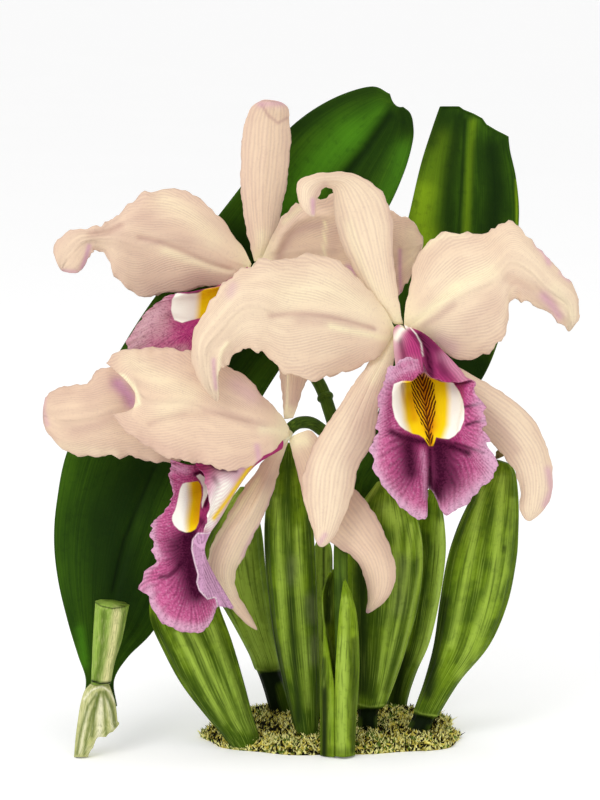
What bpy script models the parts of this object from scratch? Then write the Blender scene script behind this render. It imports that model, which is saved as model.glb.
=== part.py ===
"""A cattleya orchid: three blooms, two leaves, seven pseudobulbs and a young shoot on a moss mat.

Sizes are in millimetres and are turned into metres where a mesh is made. +Z is up, the blooms
face -Y, and the origin is on the underside of the moss mat.

Most outlines are places on an upright plate, 300 mm wide and 400 mm high, that the plant is seen
against: across from its left edge, down from its top edge, and then the depth along Y.
"""

import math

import bmesh
import bpy
import numpy as np

MM = 0.001
PLATE_WIDTH = 300.0
PLATE_HEIGHT = 400.0
EYE_DISTANCE = 1600.0
EYE_TILT = math.radians(8.0)
AIM = np.array([-16.0, 0.0, 169.1])

PETAL_THICKNESS = 0.8
LIP_THICKNESS = 0.8
LEAF_THICKNESS = 1.6
SHEATH_THICKNESS = 1.0
STEM_RADII = (3.5, 3.5, 3.5, 3.3, 3.0, 2.8)
PEDICEL_A_RADII = (3.2, 3.0, 2.8)
PEDICEL_C_RADII = (3.2, 3.1, 2.8)
NODE_RING_RADII = (3.4, 4.2, 4.2, 3.4)
COLUMN_RADII = (2.9, 2.9, 2.2, 1.7, 2.2, 2.6, 1.4)
STUB_RADII = (3.6, 2.6, 1.4)
SEAT_GAP = 0.3

MOSS_HALF_WIDTH = 65.5
MOSS_FRONT = -52.0
MOSS_BACK = 40.0
MOSS_HEIGHT = 6.0
MOSS_CIRCLES = 7
MOSS_SPOKES = 36
BULB_FOOT = 1.8
BULB_SIDES = 16
BULB_RIBS = 8
RIB_DEPTH = 0.035
SHEATH_HOLE = (10.2, 9.5)

RIGHT = np.array([1.0, 0.0, 0.0])
UP = np.array([0.0, math.sin(EYE_TILT), math.cos(EYE_TILT)])
AHEAD = np.array([0.0, math.cos(EYE_TILT), -math.sin(EYE_TILT)])
EYE = AIM - EYE_DISTANCE * AHEAD

# Each row of a blade is its left edge (across, down), its right edge (across, down) and the depths
# of left edge, midline and right edge. Two more numbers place the midline, else it is halfway.
# The last row of a blade that ends in a tip holds the tip alone: across, down, depth.

DORSAL_SEPAL_A = (
    (197.3, 162, 201.5, 162, -22.3, -22.3, -22.3),
    (185.8, 151.5, 199, 148, -25, -26, -25),
    (178, 137, 196.5, 125, -25, -28, -25),
    (170.5, 122, 195.5, 107, -25, -29, -26),
    (167, 106, 189.5, 95, -27, -31, -28),
    (166, 95, 177, 87, -33, -35, -34),
    (161, 94.5, 161, 86.2, -42, -42, -42),
    (159, 99, 149.5, 91, -46, -48, -47),
    (158, 103.5, 150, 102.5, -47, -49, -48),
    (156.5, 108.5, -47),
)
LEFT_PETAL_A = (
    (197, 167.2, 197, 163.6, -24.2, -24.2, -24.2),
    (189, 177.5, 189.5, 150.5, -29, -31, -28),
    (176, 185.5, 176, 136, -33, -37, -33),
    (159, 189.5, 159, 127.5, -40, -44, -38),
    (144, 187.5, 142, 129.5, -47, -49, -44),
    (133, 177.5, 127.5, 132.5, -50, -54, -48),
    (123, 174.5, 116, 139, -54, -57, -52),
    (114, 181.5, 106.5, 149.5, -57, -60, -55),
    (110, 184, 96, 167, -58, -61, -56),
    (109.5, 193, 98.5, 187.5, -57, -60, -56),
    (108, 200.5, -56),
)
RIGHT_PETAL_A = (
    (202, 162.8, 203.3, 165, -24.2, -24.2, -24.2),
    (204, 146, 216, 171, -26, -29, -28),
    (209.5, 127, 230, 180, -27, -33, -31),
    (223, 116.5, 243, 177, -29, -36, -34),
    (241, 116.5, 252, 166, -32, -39, -35),
    (255.5, 111, 256, 151.5, -36, -42, -36),
    (269, 122.5, 261.5, 148.5, -38, -43, -35),
    (277, 134, 270, 155, -39, -42, -33),
    (288.5, 144.5, 279, 159.5, -37, -39, -31),
    (289, 157.5, 282, 163.5, -35, -36, -31),
    (285, 165.5, -32),
)
LEFT_SEPAL_A = (
    (196.2, 166.6, 198.6, 168.9, -22.3, -22.3, -22.3),
    (186, 179, 196.5, 181.5, -25, -27, -25),
    (178.5, 190, 192.5, 192, -31, -33, -30),
    (169, 204.5, 189.5, 205, -38, -41, -37),
    (160, 216.5, 187, 219, -44, -48, -43),
    (153, 232.5, 179.5, 233, -49, -53, -49),
    (151.5, 246.5, 177, 246, -52, -56, -52),
    (154.5, 260, 171.5, 259, -54, -57, -54),
    (157.5, 269, 165.5, 270, -55, -57, -55),
    (160.5, 273.5, -56),
)
RIGHT_SEPAL_A = (
    (200.8, 168.9, 203.2, 166.5, -22.3, -22.3, -22.3),
    (207.5, 186, 218, 178.5, -26, -28, -26),
    (223, 202.5, 236, 187, -30, -32, -28),
    (237, 214, 251.5, 196.5, -34, -37, -31),
    (248.5, 224, 265, 208.5, -38, -41, -34),
    (256.5, 234, 273.5, 222, -41, -43, -37),
    (260, 246, 276, 237, -42, -45, -39),
    (260, 255, 274, 251.5, -42, -44, -40),
    (265, 260.5, -41),
)
DORSAL_SEPAL_B = (
    (127, 130.6, 131.2, 130.6, 15.6, 15.6, 15.6),
    (125, 122.5, 137.5, 119, 15, 13, 15),
    (121.5, 104, 141, 103.5, 17, 14, 17),
    (120, 87.5, 143.5, 90, 18, 14, 18),
    (121, 72.5, 145, 75, 17, 13, 17),
    (123, 59, 145, 62.5, 14, 10, 13),
    (128, 51.5, 143.5, 53, 8, 5, 7),
    (135, 50, 3),
)
LEFT_PETAL_B = (
    (124.7, 134.8, 125.7, 131.8, 13.4, 13.4, 13.4),
    (114, 142, 118, 118.5, 11, 9, 13),
    (100, 144, 102.5, 102, 9, 6, 12),
    (82.5, 146.5, 87.5, 94, 7, 3, 10),
    (69, 148.5, 73.5, 97, 5, 0, 7),
    (59, 138.5, 62, 103.5, 3, -3, 4),
    (53, 128.5, 53.5, 111, 0, -3, 0),
    (46.5, 125, 46, 114.5, -3, -4, -3),
    (44, 129, 36, 115, -6, -7, -4),
    (40, 135.5, 27, 123.5, -7, -9, -5),
    (30.5, 135, -6),
)
RIGHT_PETAL_B = (
    (130, 131.3, 131.4, 133.8, 13.4, 13.4, 13.4),
    (138.5, 113, 145, 141, 9, 11, 12),
    (149, 101.5, 160, 149, 6, 10, 11),
    (165, 98, 175, 153, 4, 9, 9),
    (181, 100, 189, 152, 3, 8, 8),
    (195.5, 106.5, 199, 147.5, 3, 7, 6),
    (205.5, 109.5, 205, 138.5, 3, 6, 4),
    (210.5, 116.5, 209.5, 128, 3, 4, 3),
    (211.5, 122.5, 3),
)
LEFT_SEPAL_B = (
    (125.2, 135.1, 127.6, 137.3, 15.6, 15.6, 15.6),
    (111, 147.5, 125, 152.5, 11, 10, 11),
    (98, 166, 114, 171, 6, 4, 6),
    (93, 185, 111, 187.5, 2, 0, 2),
    (95, 202.5, 109, 202.5, -1, -3, -1),
    (103.5, 215, -3),
)
RIGHT_SEPAL_B = (
    (129.8, 137.3, 132.2, 135.1, 15.6, 15.6, 15.6),
    (139, 159, 154, 148, 11, 9, 11),
    (152.5, 172.5, 170, 160, 8, 5, 8),
    (165, 180, 180, 170.5, 6, 4, 6),
    (176, 182, 5),
)
DORSAL_SEPAL_C = (
    (142, 209.5, 146.5, 209, -21, -21, -21),
    (141.5, 199.5, 150, 199, -19, -20, -18),
    (139.5, 186.5, 154, 189, -15, -17, -14),
    (138.5, 172.5, 157, 174, -12, -14, -11),
    (139, 155, 156, 156, -9, -11, -9),
    (147.5, 141, -9),
)
NEAR_PETAL_C = (
    (144.7, 217.6, 144.3, 213.6, -28.4, -28.4, -28.2),
    (135, 226, 136, 202, -43, -38, -33),
    (125, 233, 124, 190, -49, -43, -36),
    (111, 234.5, 110, 180.5, -52, -47, -38),
    (99, 230, 96, 175.5, -53, -48, -39),
    (86, 229, 82.5, 173.5, -54, -49, -40),
    (75, 223.5, 70, 175, -53, -49, -41),
    (64, 216.5, 59, 175.5, -52, -48, -42, 68, 195),
    (56, 207, 53, 181.5, -50, -47, -43, 68.5, 199.5),
)
FAR_PETAL_C = (
    (141.8, 216.6, 140.8, 212.6, -21.8, -21.8, -21.8),
    (131, 225, 131, 204, -21.5, -22.5, -21),
    (112.5, 231, 112.5, 192.5, -22.5, -24, -21),
    (95, 229, 92.5, 186, -25, -27, -21),
    (80, 231.5, 72.5, 183, -27, -31, -23),
    (66, 229, 54, 183, -30, -34, -25),
    (50, 227, 44, 190.5, -32, -36, -27),
    (35, 227, 30, 194, -33, -37, -29),
    (25, 218, 23, 198.5, -33, -36, -31),
    (21.5, 207.5, -33),
)
LEFT_SEPAL_C = (
    (142.3, 218.4, 144.5, 219.4, -22.6, -22.6, -22.6),
    (133, 228.5, 140.5, 231.5, -19, -20, -20),
    (124, 241.5, 136, 247, -24, -27, -25),
    (115.5, 255, 131, 260, -31, -34, -31),
    (107, 270, 123, 275, -36, -39, -35),
    (103.5, 283.5, 118, 286.5, -38, -40, -36),
    (109, 295, 118.5, 296, -37, -38, -36),
    (118, 307, 124, 306, -36, -37, -35),
    (128.5, 315, -34),
)
RIGHT_SEPAL_C = (
    (144.6, 220.2, 146.8, 217.6, -25.5, -25.5, -25.5),
    (146.8, 229, 156, 216, -28, -29, -27),
    (150, 241, 166, 229, -31, -33, -30),
    (153.5, 254, 177, 243.5, -35, -38, -34),
    (160, 266, 185, 254, -38, -42, -37),
    (169, 273.3, 192.5, 267.5, -40, -44, -39),
    (176.5, 278.5, 197, 279, -41, -46, -41),
    (182, 288.5, 197, 291.5, -41, -45, -41),
    (184, 298.5, 192, 301, -40, -43, -40),
    (183.5, 306.5, -38),
)
LEAF_1 = (
    (41, 353, 58.5, 353, -45, -44, -45),
    (43, 340, 57, 340, -39, -37, -38),
    (39, 327.5, 64, 328.5, -35, -31, -31, 52, 325),
    (34, 311, 77, 315, -28, -22, -20, 55, 309),
    (29, 290, 90, 291.5, -20, -14, -9, 59.5, 287.5),
    (27, 270, 99.5, 270.5, -13, -7, -1, 64, 270),
    (28.5, 250, 108.5, 250, -6, 0, 4, 69.5, 252.5),
    (33.5, 226, 118.5, 226, 3, 9, 10, 80, 227.5),
    (46, 200, 129, 202, 11, 17, 16, 91, 207.5),
    (60.5, 174.5, 146, 175, 17, 24, 20.9, 107.5, 186),
    (75, 152, 162.5, 150.5, 22, 30, 26, 122.5, 166.5),
    (92.5, 129, 177.5, 128, 26, 34, 29, 139, 144),
    (109.5, 107.5, 193, 105.5, 29, 37, 32, 155, 120),
    (127.5, 84.5, 202, 86, 31, 38, 33, 169, 95),
    (145.5, 63.5, 206.3, 70.5, 32, 38, 34, 182, 75),
    (165, 50, 206.5, 62, 33, 37, 34, 190, 64.5),
    (185, 43.3, 205, 56.5, 34, 36, 34, 195, 56.5),
    (195, 47, 201.5, 53.5, 34, 35, 34, 197.5, 52.3),
)
LEAF_2 = (
    (180.3, 247.2, 185.6, 247.8, -13, -13, -13),
    (178.5, 241, 188.5, 242, -12, -9, -12),
    (179, 231, 202.5, 231, -8, -3, -6),
    (184, 219, 220, 215, -2, 4, 0, 199, 215),
    (191, 200, 239, 192.5, 4, 10, 6, 211, 192.5),
    (195, 175, 248.5, 172.5, 9, 16, 11, 219, 170),
    (197, 150, 254, 150, 13, 20, 15, 224.5, 145),
    (200, 127.5, 258, 125, 16, 23, 18, 228, 122.5),
    (205, 106, 259.5, 106, 18, 24, 20, 230, 102.5),
    (210.5, 82.5, 258, 89, 19, 24, 21, 230.5, 81),
    (216, 65, 255, 75, 19, 23, 21, 231.5, 65),
    (220, 53.5, 252.5, 68.5, 19, 22, 21, 232, 55),
)

# Ribs of a lip, from the seam on top, round the viewer's left side, the floor and the right side
# back to the seam. Each rib runs from the claw through the tube and the throat to the margin.
LIP_A = (
    ((199.5, 162.5, -29), (204.5, 166.5, -37), (208, 171.5, -45), (211, 178.5, -52), (211.5, 186, -57), (209, 180, -62)),
    ((198.5, 163, -29), (201.5, 168.5, -38), (204, 175, -46), (206, 182.5, -52), (205.5, 190.5, -57), (201.5, 179.5, -63)),
    ((197.5, 164, -28), (199, 171.5, -37), (200.5, 180, -44), (202, 187, -51), (200, 191.5, -57), (194.5, 185, -62)),
    ((197, 165.5, -28), (197.5, 175, -36), (199, 186, -43), (200, 194, -50), (196.5, 197, -57), (190, 197.5, -60)),
    ((197, 166.5, -27), (197.5, 177.5, -34), (199.5, 191, -42), (201, 202.5, -50), (196, 206, -58), (188.5, 210, -61)),
    ((197.5, 167.5, -27), (198.5, 180, -33), (201.5, 196, -41), (204, 210, -52), (198, 215, -62), (186, 220, -64)),
    ((198.5, 168.5, -26), (200.5, 181.5, -32), (204.5, 198, -41), (207.5, 214, -54), (199, 231, -70), (187.5, 236, -66)),
    ((199.5, 169, -26), (203, 182, -32), (208.5, 198.5, -42), (212, 216, -56), (206.5, 237.5, -74), (200, 253, -66)),
    ((200, 169, -26), (204.5, 182, -32), (211, 198.5, -43), (214, 217, -57), (213, 239, -74), (212, 259.5, -62)),
    ((200.5, 169, -26), (205.5, 182, -32), (212.5, 198.5, -43), (215.5, 217, -58), (215.5, 232.5, -71), (214, 244.5, -68)),
    ((201.5, 168.5, -26), (207.5, 181, -32), (216.5, 198, -43), (218.5, 216.5, -58), (221, 237.5, -75), (224.5, 256.5, -64)),
    ((202.5, 168, -26), (210, 179, -33), (221.5, 196, -43), (224.5, 214, -57), (232.5, 227.5, -72), (241.5, 244, -64)),
    ((203, 167, -27), (212, 177, -34), (225, 193, -43), (228.5, 209, -55), (231.5, 219, -66), (247.5, 233.5, -64)),
    ((203.5, 166, -27), (213, 175, -36), (227.5, 190, -44), (230.5, 201, -52), (232.5, 211, -61), (243.5, 215, -61)),
    ((203.5, 165, -28), (213, 173, -38), (226.5, 187, -46), (231, 194, -53), (232.5, 200, -59), (241, 202, -60)),
    ((203, 164, -28), (211.5, 170.5, -40), (223, 182, -47), (229, 189, -53), (232, 192.5, -58), (236, 195, -60)),
    ((202.5, 163, -29), (209, 168, -41), (218, 178, -48), (223, 185, -53), (225, 190.5, -58), (229, 183, -62)),
    ((202, 162.5, -29), (207.5, 165.5, -39), (212.5, 172, -47), (216, 180, -53), (218.5, 189.5, -58), (220.5, 176, -62)),
)
LIP_B = (
    ((124, 133.6, 8), (117.5, 138.5, -1), (111, 142.8, -6), (103.5, 144.5, -9), (96, 146, -10.5), (89, 146.5, -9.5)),
    ((123, 134.3, 8.5), (115.5, 139.5, 0.5), (107.5, 144, -4), (99, 146.5, -7.5), (90, 148, -9.5), (82.5, 148.5, -9)),
    ((122.4, 135.5, 9), (114, 142, 2), (104, 148, -1.5), (93.5, 150, -6), (84.5, 151, -8.5), (75, 154, -7)),
    ((122.3, 136.8, 9.6), (113.8, 144.5, 3.5), (103, 152.5, -1), (91, 155, -6.5), (79.5, 157.5, -9), (69, 161.5, -6)),
    ((122.6, 138, 10), (114.2, 146.5, 4.5), (103, 156, -1.5), (91.5, 161.5, -7.5), (77.5, 167, -10), (63.5, 174, -6)),
    ((123.4, 139, 10.3), (115.2, 148, 5), (105, 159, -2.5), (95, 167, -9), (85, 175, -12), (75, 183, -8)),
    ((124.5, 139.6, 10.2), (117, 149, 4.5), (108.5, 160.5, -3), (101, 171, -9.5), (96, 182, -12), (90, 193.5, -7)),
    ((125.7, 139.5, 9.8), (119.3, 148.8, 3), (113.5, 160, -5), (110, 170.5, -11), (106, 181.5, -12.5), (103, 193.5, -7)),
    ((127, 138.8, 9.2), (121.5, 146.5, 1), (119, 155.5, -7.5), (119, 162.5, -13), (117, 168, -14.5), (114, 172.5, -10)),
    ((127.9, 137.3, 8.2), (123, 143, -1.5), (125.5, 149, -10), (128, 154.5, -14), (128.5, 158, -16), (129, 161.5, -13)),
    ((127.8, 135.3, 7.5), (122.5, 140, -3), (126.5, 144.5, -11), (129, 148, -15), (129.5, 150, -16.5), (130, 152, -14)),
    ((126.6, 133.8, 7.5), (120.5, 138.3, -3), (121, 141.5, -11), (121, 143.8, -14.5), (121, 145.5, -16), (121, 147.5, -14)),
)
LIP_C = (
    ((138.6, 218.8, -27), (127, 223, -27), (113.5, 229, -29), (103, 234, -33), (95, 236.5, -38), (86, 233.5, -40)),
    ((138, 219.6, -25.6), (126, 225, -26), (112, 232, -28), (101.5, 239.5, -32), (92, 241.5, -38), (85.5, 238, -41)),
    ((137.8, 220.8, -24.9), (124.5, 228, -25.5), (110.5, 237, -28), (100, 246, -32), (90, 246, -40), (86, 248, -43)),
    ((138, 222, -24.8), (124, 231, -26), (110, 242.5, -29), (100, 251.5, -36), (88.5, 254, -45), (81.5, 255.5, -47)),
    ((138.5, 223.2, -25.3), (123.5, 232.5, -27), (110, 246, -32), (100, 257, -41), (86.5, 265, -52), (75.5, 266, -55)),
    ((139, 224, -26.3), (123, 233.5, -28.5), (110.5, 249, -35), (100, 261, -46), (88, 276, -59), (76.5, 275.5, -60)),
    ((139.5, 224.4, -27.2), (123.5, 234.5, -30), (111, 251, -38), (100, 264, -49), (88, 284, -65), (71, 293.5, -62)),
    ((140, 224.4, -28), (124, 235, -31.5), (111, 253, -40), (99.5, 266.5, -51), (93, 291, -68), (85, 313, -62)),
    ((140.5, 224.3, -28.8), (124.5, 235, -33), (110.5, 255, -41), (99.5, 268, -52), (99, 295, -68), (102, 315, -61)),
    ((141, 223.8, -29.6), (125.5, 234.5, -35), (110, 257, -43), (101, 270, -53), (101.5, 290, -66), (108.5, 304.5, -60)),
    ((141.3, 223, -30.4), (126, 233.5, -37), (109.5, 259, -44), (104, 268, -52), (103, 279, -58), (116, 303, -54)),
    ((141.5, 222, -31), (126, 231.5, -38.5), (110.5, 257.5, -45), (106, 262.5, -50), (97, 270, -55), (101, 285.5, -56)),
    ((141.5, 220.8, -31.4), (126, 229, -39), (113, 248, -46), (108, 253, -50), (105, 257, -53), (103.5, 262, -55)),
    ((141, 219.6, -31.2), (127, 226, -38), (115, 238, -45), (109, 242.5, -48), (106, 245.5, -50), (104.5, 250, -52)),
    ((140.3, 218.8, -30.4), (128, 223.5, -35), (116, 231, -41), (109, 235, -44), (104.5, 236.5, -46), (100.5, 236.5, -47)),
    ((139.6, 218.4, -29), (128, 221.5, -31), (115, 227, -35), (107, 230.5, -38), (102, 231, -40), (96.5, 230.5, -41)),
)
# Ribs of the young shoot's folded sheath, from the free edge of its front flap round the right and
# the back to the other free edge. Each rib runs from the foot to the top.
SHEATH = (
    ((167.7, 378, -57), (167.5, 360, -57), (167.7, 340, -57), (168.5, 325, -57), (169.7, 307, -56), (170.8, 297, -55), (171.8, 290.5, -53)),
    ((171.5, 378.5, -59), (171.5, 360, -59), (172, 340, -59), (173, 325, -59), (173.5, 307, -58), (173, 297, -56), (172.1, 290.5, -53)),
    ((175.5, 378, -57), (176, 360, -57.5), (177.3, 340, -57.5), (177.6, 325, -57.5), (176.7, 307, -56.5), (174.5, 297, -54.5), (172.4, 290.5, -52.5)),
    ((177, 377.5, -52), (177.7, 360, -52.5), (179, 340, -52.5), (179.2, 325, -52.5), (178, 308, -52), (175.5, 298, -51.5), (172.8, 291.5, -51)),
    ((174.5, 377, -46), (175, 360, -46), (176.5, 342, -45), (177, 330, -43.5), (176.8, 320, -42), (176.4, 315, -41), (176, 311, -41)),
    ((169.5, 377, -43.5), (169.5, 360, -43), (169.5, 342, -41.5), (169.5, 328, -40), (169.5, 315, -38), (169.2, 307, -36.5), (169, 300, -36)),
    ((164, 377, -44.5), (164, 360, -44), (164.5, 340, -42.5), (165, 325, -41), (165.5, 307, -38.5), (166, 296, -37), (167.2, 285.5, -36)),
    ((160.7, 377.5, -50), (160.7, 360, -50), (161, 340, -48.5), (162, 325, -47), (162.3, 307, -45), (162.6, 296, -43), (166, 286, -40)),
    ((161.8, 378, -54), (161.8, 360, -54), (162, 342, -53), (163, 328, -51), (161.8, 312, -48.5), (161.6, 297, -46), (165.2, 286, -42)),
    ((166.4, 378.5, -57), (166.4, 360, -57), (166.4, 344, -56), (165.7, 333, -53.5), (162.6, 315, -50.5), (161.3, 298, -47.5), (164.5, 286.5, -43.5)),
)

# Each section of a pseudobulb is its left and right side (across, down), its depth and half its
# thickness front to back.
PSEUDOBULBS = {
    "pseudobulb_left": (
        (81, 277, 88, 276, -22, 2.0),
        (76, 286, 98, 281, -23, 5.5),
        (74.5, 299, 107, 295, -25, 7.5),
        (75, 311, 111, 306, -27, 8.5),
        (81, 325, 116.5, 321, -29, 9.0),
        (90, 341.5, 122, 340, -32, 8.5),
        (101.5, 356.5, 126.5, 357.5, -35, 7.5),
        (110, 366.5, 129.5, 367.5, -37, 6.5),
        (118, 378, 131, 378, -38, 5.5),
    ),
    "pseudobulb_left_rear": (
        (120, 243.5, 123, 243.5, 8, 1.5),
        (116.5, 248, 126, 247, 9, 3.5),
        (109, 257.5, 129, 256, 11, 5.5),
        (102, 272.5, 131.5, 267.5, 12, 7.5),
        (103, 286, 133, 282.5, 14, 8.0),
        (108.5, 298.5, 135, 300, 15, 7.5),
        (116.5, 312.5, 137.5, 317.5, 17, 6.5),
        (124, 326.5, 140, 328.5, 18, 6.0),
        (127, 334, 140.7, 334, 18, 6.0),
        (128.6, 336, 140.5, 336, 18, 5.0),
        (132, 345.5, 144, 345.5, 18, 5.0),
        (136, 360, 148, 360, 18, 5.0),
    ),
    "pseudobulb_middle": (
        (142.5, 221.5, 146, 221.5, -6, 1.5),
        (139, 227.5, 149.5, 227.5, -7, 4.0),
        (135.5, 240, 153, 240, -9, 6.0),
        (132.5, 256, 156, 256, -12, 7.5),
        (132, 272.5, 157.5, 272.5, -15, 8.0),
        (133.5, 292.5, 158.5, 295, -18, 8.0),
        (136.5, 317.5, 159.5, 320, -23, 7.5),
        (141, 340, 160, 342.5, -28, 6.5),
        (146, 360, 159.5, 360, -32, 5.5),
        (148.5, 368.5, 158.5, 368.5, -34, 5.0),
        (151, 382, 158, 382, -36, 4.5),
    ),
    "pseudobulb_pale": (
        (159.5, 268.5, 163, 268.5, 4, 1.5),
        (157, 274.5, 166, 274.5, 4, 3.5),
        (156, 290, 166.5, 290, 4, 4.5),
        (156.5, 315, 167, 315, 5, 4.5),
        (157.5, 340, 166.5, 340, 6, 4.0),
        (158.5, 362.5, 165.5, 362.5, 7, 3.5),
        (159, 372, 165, 372, 7, 3.0),
    ),
    "pseudobulb_front_right": (
        (181, 250.5, 188, 248, -16, 2.5),
        (177, 257, 199, 249, -16, 5.5),
        (173.5, 268.5, 209, 259, -16, 8.0),
        (172.5, 283.5, 212, 277, -16, 9.0),
        (172.8, 300, 210, 300, -17, 9.0),
        (174.5, 320, 204.5, 321, -18, 8.5),
        (176.5, 337.5, 198.5, 339, -20, 7.5),
        (177.5, 349.5, 193.5, 351.5, -22, 6.5),
        (178, 352.5, 191.8, 353.5, -22, 6.3),
        (179, 355, 189.5, 355, -22, 4.8),
        (178.8, 361, 188.7, 361, -22, 4.5),
        (178, 375, 189, 375, -23, 4.5),
    ),
    "pseudobulb_right_rear": (
        (215, 244, 220, 243.5, 23, 2.0),
        (209, 250, 220.5, 250, 23, 4.5),
        (205, 260, 222.5, 262.5, 24, 6.5),
        (202.5, 280, 223, 277.5, 25, 7.5),
        (200, 300, 220, 300, 26, 7.5),
        (198, 320, 215, 321, 28, 6.5),
        (195, 337.5, 208.5, 336, 30, 5.5),
        (193, 350, 204, 350, 31, 4.5),
        (192, 361, 203, 361, 31, 4.0),
    ),
    "pseudobulb_right": (
        (246.5, 229.5, 255, 232, -20, 3.5),
        (241, 239, 258, 237, -20, 6.0),
        (233, 253.5, 259.5, 250, -20, 7.5),
        (227.5, 266, 259.5, 265, -20, 8.5),
        (223, 281, 258.5, 280, -20, 9.0),
        (219.5, 301.5, 254, 302, -20, 9.0),
        (216.5, 322.5, 245, 322.5, -21, 8.5),
        (212, 340, 230.5, 340, -22, 7.0),
        (207.5, 353, 221, 355, -23, 6.0),
        (206.8, 356, 220, 357.5, -23, 5.8),
        (206, 359, 217.5, 359, -23, 4.6),
        (202.5, 366, 214, 366.5, -24, 4.5),
        (197, 378, 207, 378.5, -25, 4.5),
    ),
}
BULB_FRAGMENT = (
    (45, 342, 54.5, 342, -46, 3.0),
    (42, 345.5, 56, 345.5, -47.5, 3.6),
    (40, 352, 58, 352, -49, 4.2),
    (38.5, 361, 59, 360, -50.5, 4.5),
    (37.5, 369, 58.7, 363.5, -52, 4.5),
    (37, 378.5, 44, 378.5, -54.5, 4.0),
)
CUT_STALK = (
    (45.4, 341.6, 55.4, 341.6, -46, 4.5),
    (46, 330, 57.5, 331, -45, 5.2),
    (46.5, 318, 61, 320, -43, 6.2),
    (47.3, 306, 63.5, 308, -41, 7.2),
    (47.6, 300.5, 64.7, 302.5, -40, 7.8),
)

# The flower stem and its branches: across, down and depth along the middle.
STEM = (
    (170.5, 379, -51),
    (170.7, 350, -50.5),
    (171, 325, -48.5),
    (170.7, 300, -44.5),
    (170.3, 285, -40.5),
    (170.5, 272, -34.5),
    (171.3, 258, -27.5),
    (172.5, 245, -20),
    (171.5, 232, -11.5),
    (169, 220, -4.5),
    (165, 206, 3),
    (160, 192.5, 9.5),
    (150.5, 178, 15.5),
    (141.5, 162.5, 20),
    (134, 147.5, 22.5),
    (130.8, 139, 22.3),
    (129.9, 134.5, 20.9),
    (129.3, 133.9, 17.9),
)
PEDICEL_A = (
    (169.5, 222, -5),
    (177, 208, -5),
    (185, 192.5, -7),
    (192.5, 177, -11.5),
    (196.8, 168.5, -15.5),
    (198.6, 166.2, -17.5),
    (199.3, 165.5, -20),
)
PEDICEL_C = (
    (169.5, 222, -5),
    (161, 215, -8),
    (155.5, 211.5, -12),
    (150, 211.3, -17),
    (146.5, 213, -21),
    (144.5, 215, -23.5),
)
# Where the stem's node rings sit, counted along its points.
NODE_RINGS = (10.55, 7.5)
LEAF_STUB = ((250.7, 228, -20), (250, 226.6, -20), (249, 225.2, -20))
# The columns stand inside the lips; the first point is the seat of the sepals and petals.
COLUMN_A = ((199.4, 165.4, -20.5), (200, 165.3, -24), (201, 166.5, -29), (204, 170.5, -36), (207.5, 177, -44))
COLUMN_B = ((129.2, 133.9, 17.4), (128.4, 134, 14), (125.1, 136.7, 8.9), (118.2, 143.4, 1.6), (112, 149, -4))
COLUMN_C = ((143.9, 215.6, -24.3), (142.4, 218.4, -26), (139.7, 221.5, -27.9), (131, 226.3, -30.4), (121, 232, -34))


def seen(across, down, depth):
    """The point at this depth that is seen at this place on the plate."""
    on_plate = AIM + (across - PLATE_WIDTH / 2) * RIGHT + (PLATE_HEIGHT / 2 - down) * UP
    ray = on_plate - EYE
    return EYE + ray * ((depth - EYE[1]) / ray[1])


def curve(points, places, beyond=None):
    """A smooth line through the points, at places counted from 0 at the first point."""
    points = np.asarray(points, float)
    before = 2 * points[0] - points[1]
    after = 2 * points[-1] - points[-2] if beyond is None else beyond
    held = np.concatenate([before[None], points, after[None]])
    places = np.clip(np.asarray(places, float), 0, len(points) - 1)
    start = np.minimum(places.astype(int), len(points) - 2)
    part = (places - start).reshape((-1,) + (1,) * (points.ndim - 1))
    a, b, c, d = (held[start + i] for i in range(4))
    bend = 2 * a - 5 * b + 4 * c - d
    return 0.5 * (2 * b + (c - a) * part + bend * part**2 + (3 * b - a - 3 * c + d) * part**3)


def material(name, colour, roughness):
    made = bpy.data.materials.new(name)
    made.use_nodes = True
    shader = made.node_tree.nodes["Principled BSDF"]
    shader.inputs["Base Color"].default_value = (*colour, 1.0)
    shader.inputs["Roughness"].default_value = roughness
    made.diffuse_color = (*colour, 1.0)
    return made


def mesh_object(name, points, faces, made_of):
    """A mesh from points in millimetres, shaded smooth."""
    mesh = bpy.data.meshes.new(name)
    mesh.from_pydata([tuple(point) for point in np.asarray(points) * MM], [], faces)
    mesh.validate()
    mesh.polygons.foreach_set("use_smooth", [True] * len(mesh.polygons))
    mesh.materials.append(made_of)
    obj = bpy.data.objects.new(name, mesh)
    bpy.context.scene.collection.objects.link(obj)
    return obj


def normals_of(grid):
    """The unit normal at each point of a grid of points."""
    along = np.gradient(grid, axis=0)
    across = np.gradient(grid, axis=1)
    normal = np.cross(across, along)
    return normal / np.maximum(np.linalg.norm(normal, axis=2, keepdims=True), 1e-9)


def thick_sheet(name, grid, normal, thickness, made_of):
    """A closed sheet round a grid of points, both of its faces split into the same triangles."""
    rows, columns = grid.shape[:2]
    half = normal * thickness / 2
    points = np.concatenate([(grid + half).reshape(-1, 3), (grid - half).reshape(-1, 3)])
    back = rows * columns
    faces = []
    for i in range(rows - 1):
        for j in range(columns - 1):
            a = i * columns + j
            b, c, d = a + 1, a + columns + 1, a + columns
            faces += [(a, b, c), (a, c, d)]
            faces += [(back + a, back + c, back + b), (back + a, back + d, back + c)]
    rim = [j for j in range(columns)]
    rim += [i * columns + columns - 1 for i in range(1, rows)]
    rim += [(rows - 1) * columns + j for j in range(columns - 2, -1, -1)]
    rim += [i * columns for i in range(rows - 2, 0, -1)]
    for here, there in zip(rim, rim[1:] + rim[:1]):
        faces += [(here, back + here, back + there), (here, back + there, there)]
    obj = mesh_object(name, points, faces, made_of)
    face_outwards(obj)
    return obj


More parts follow.
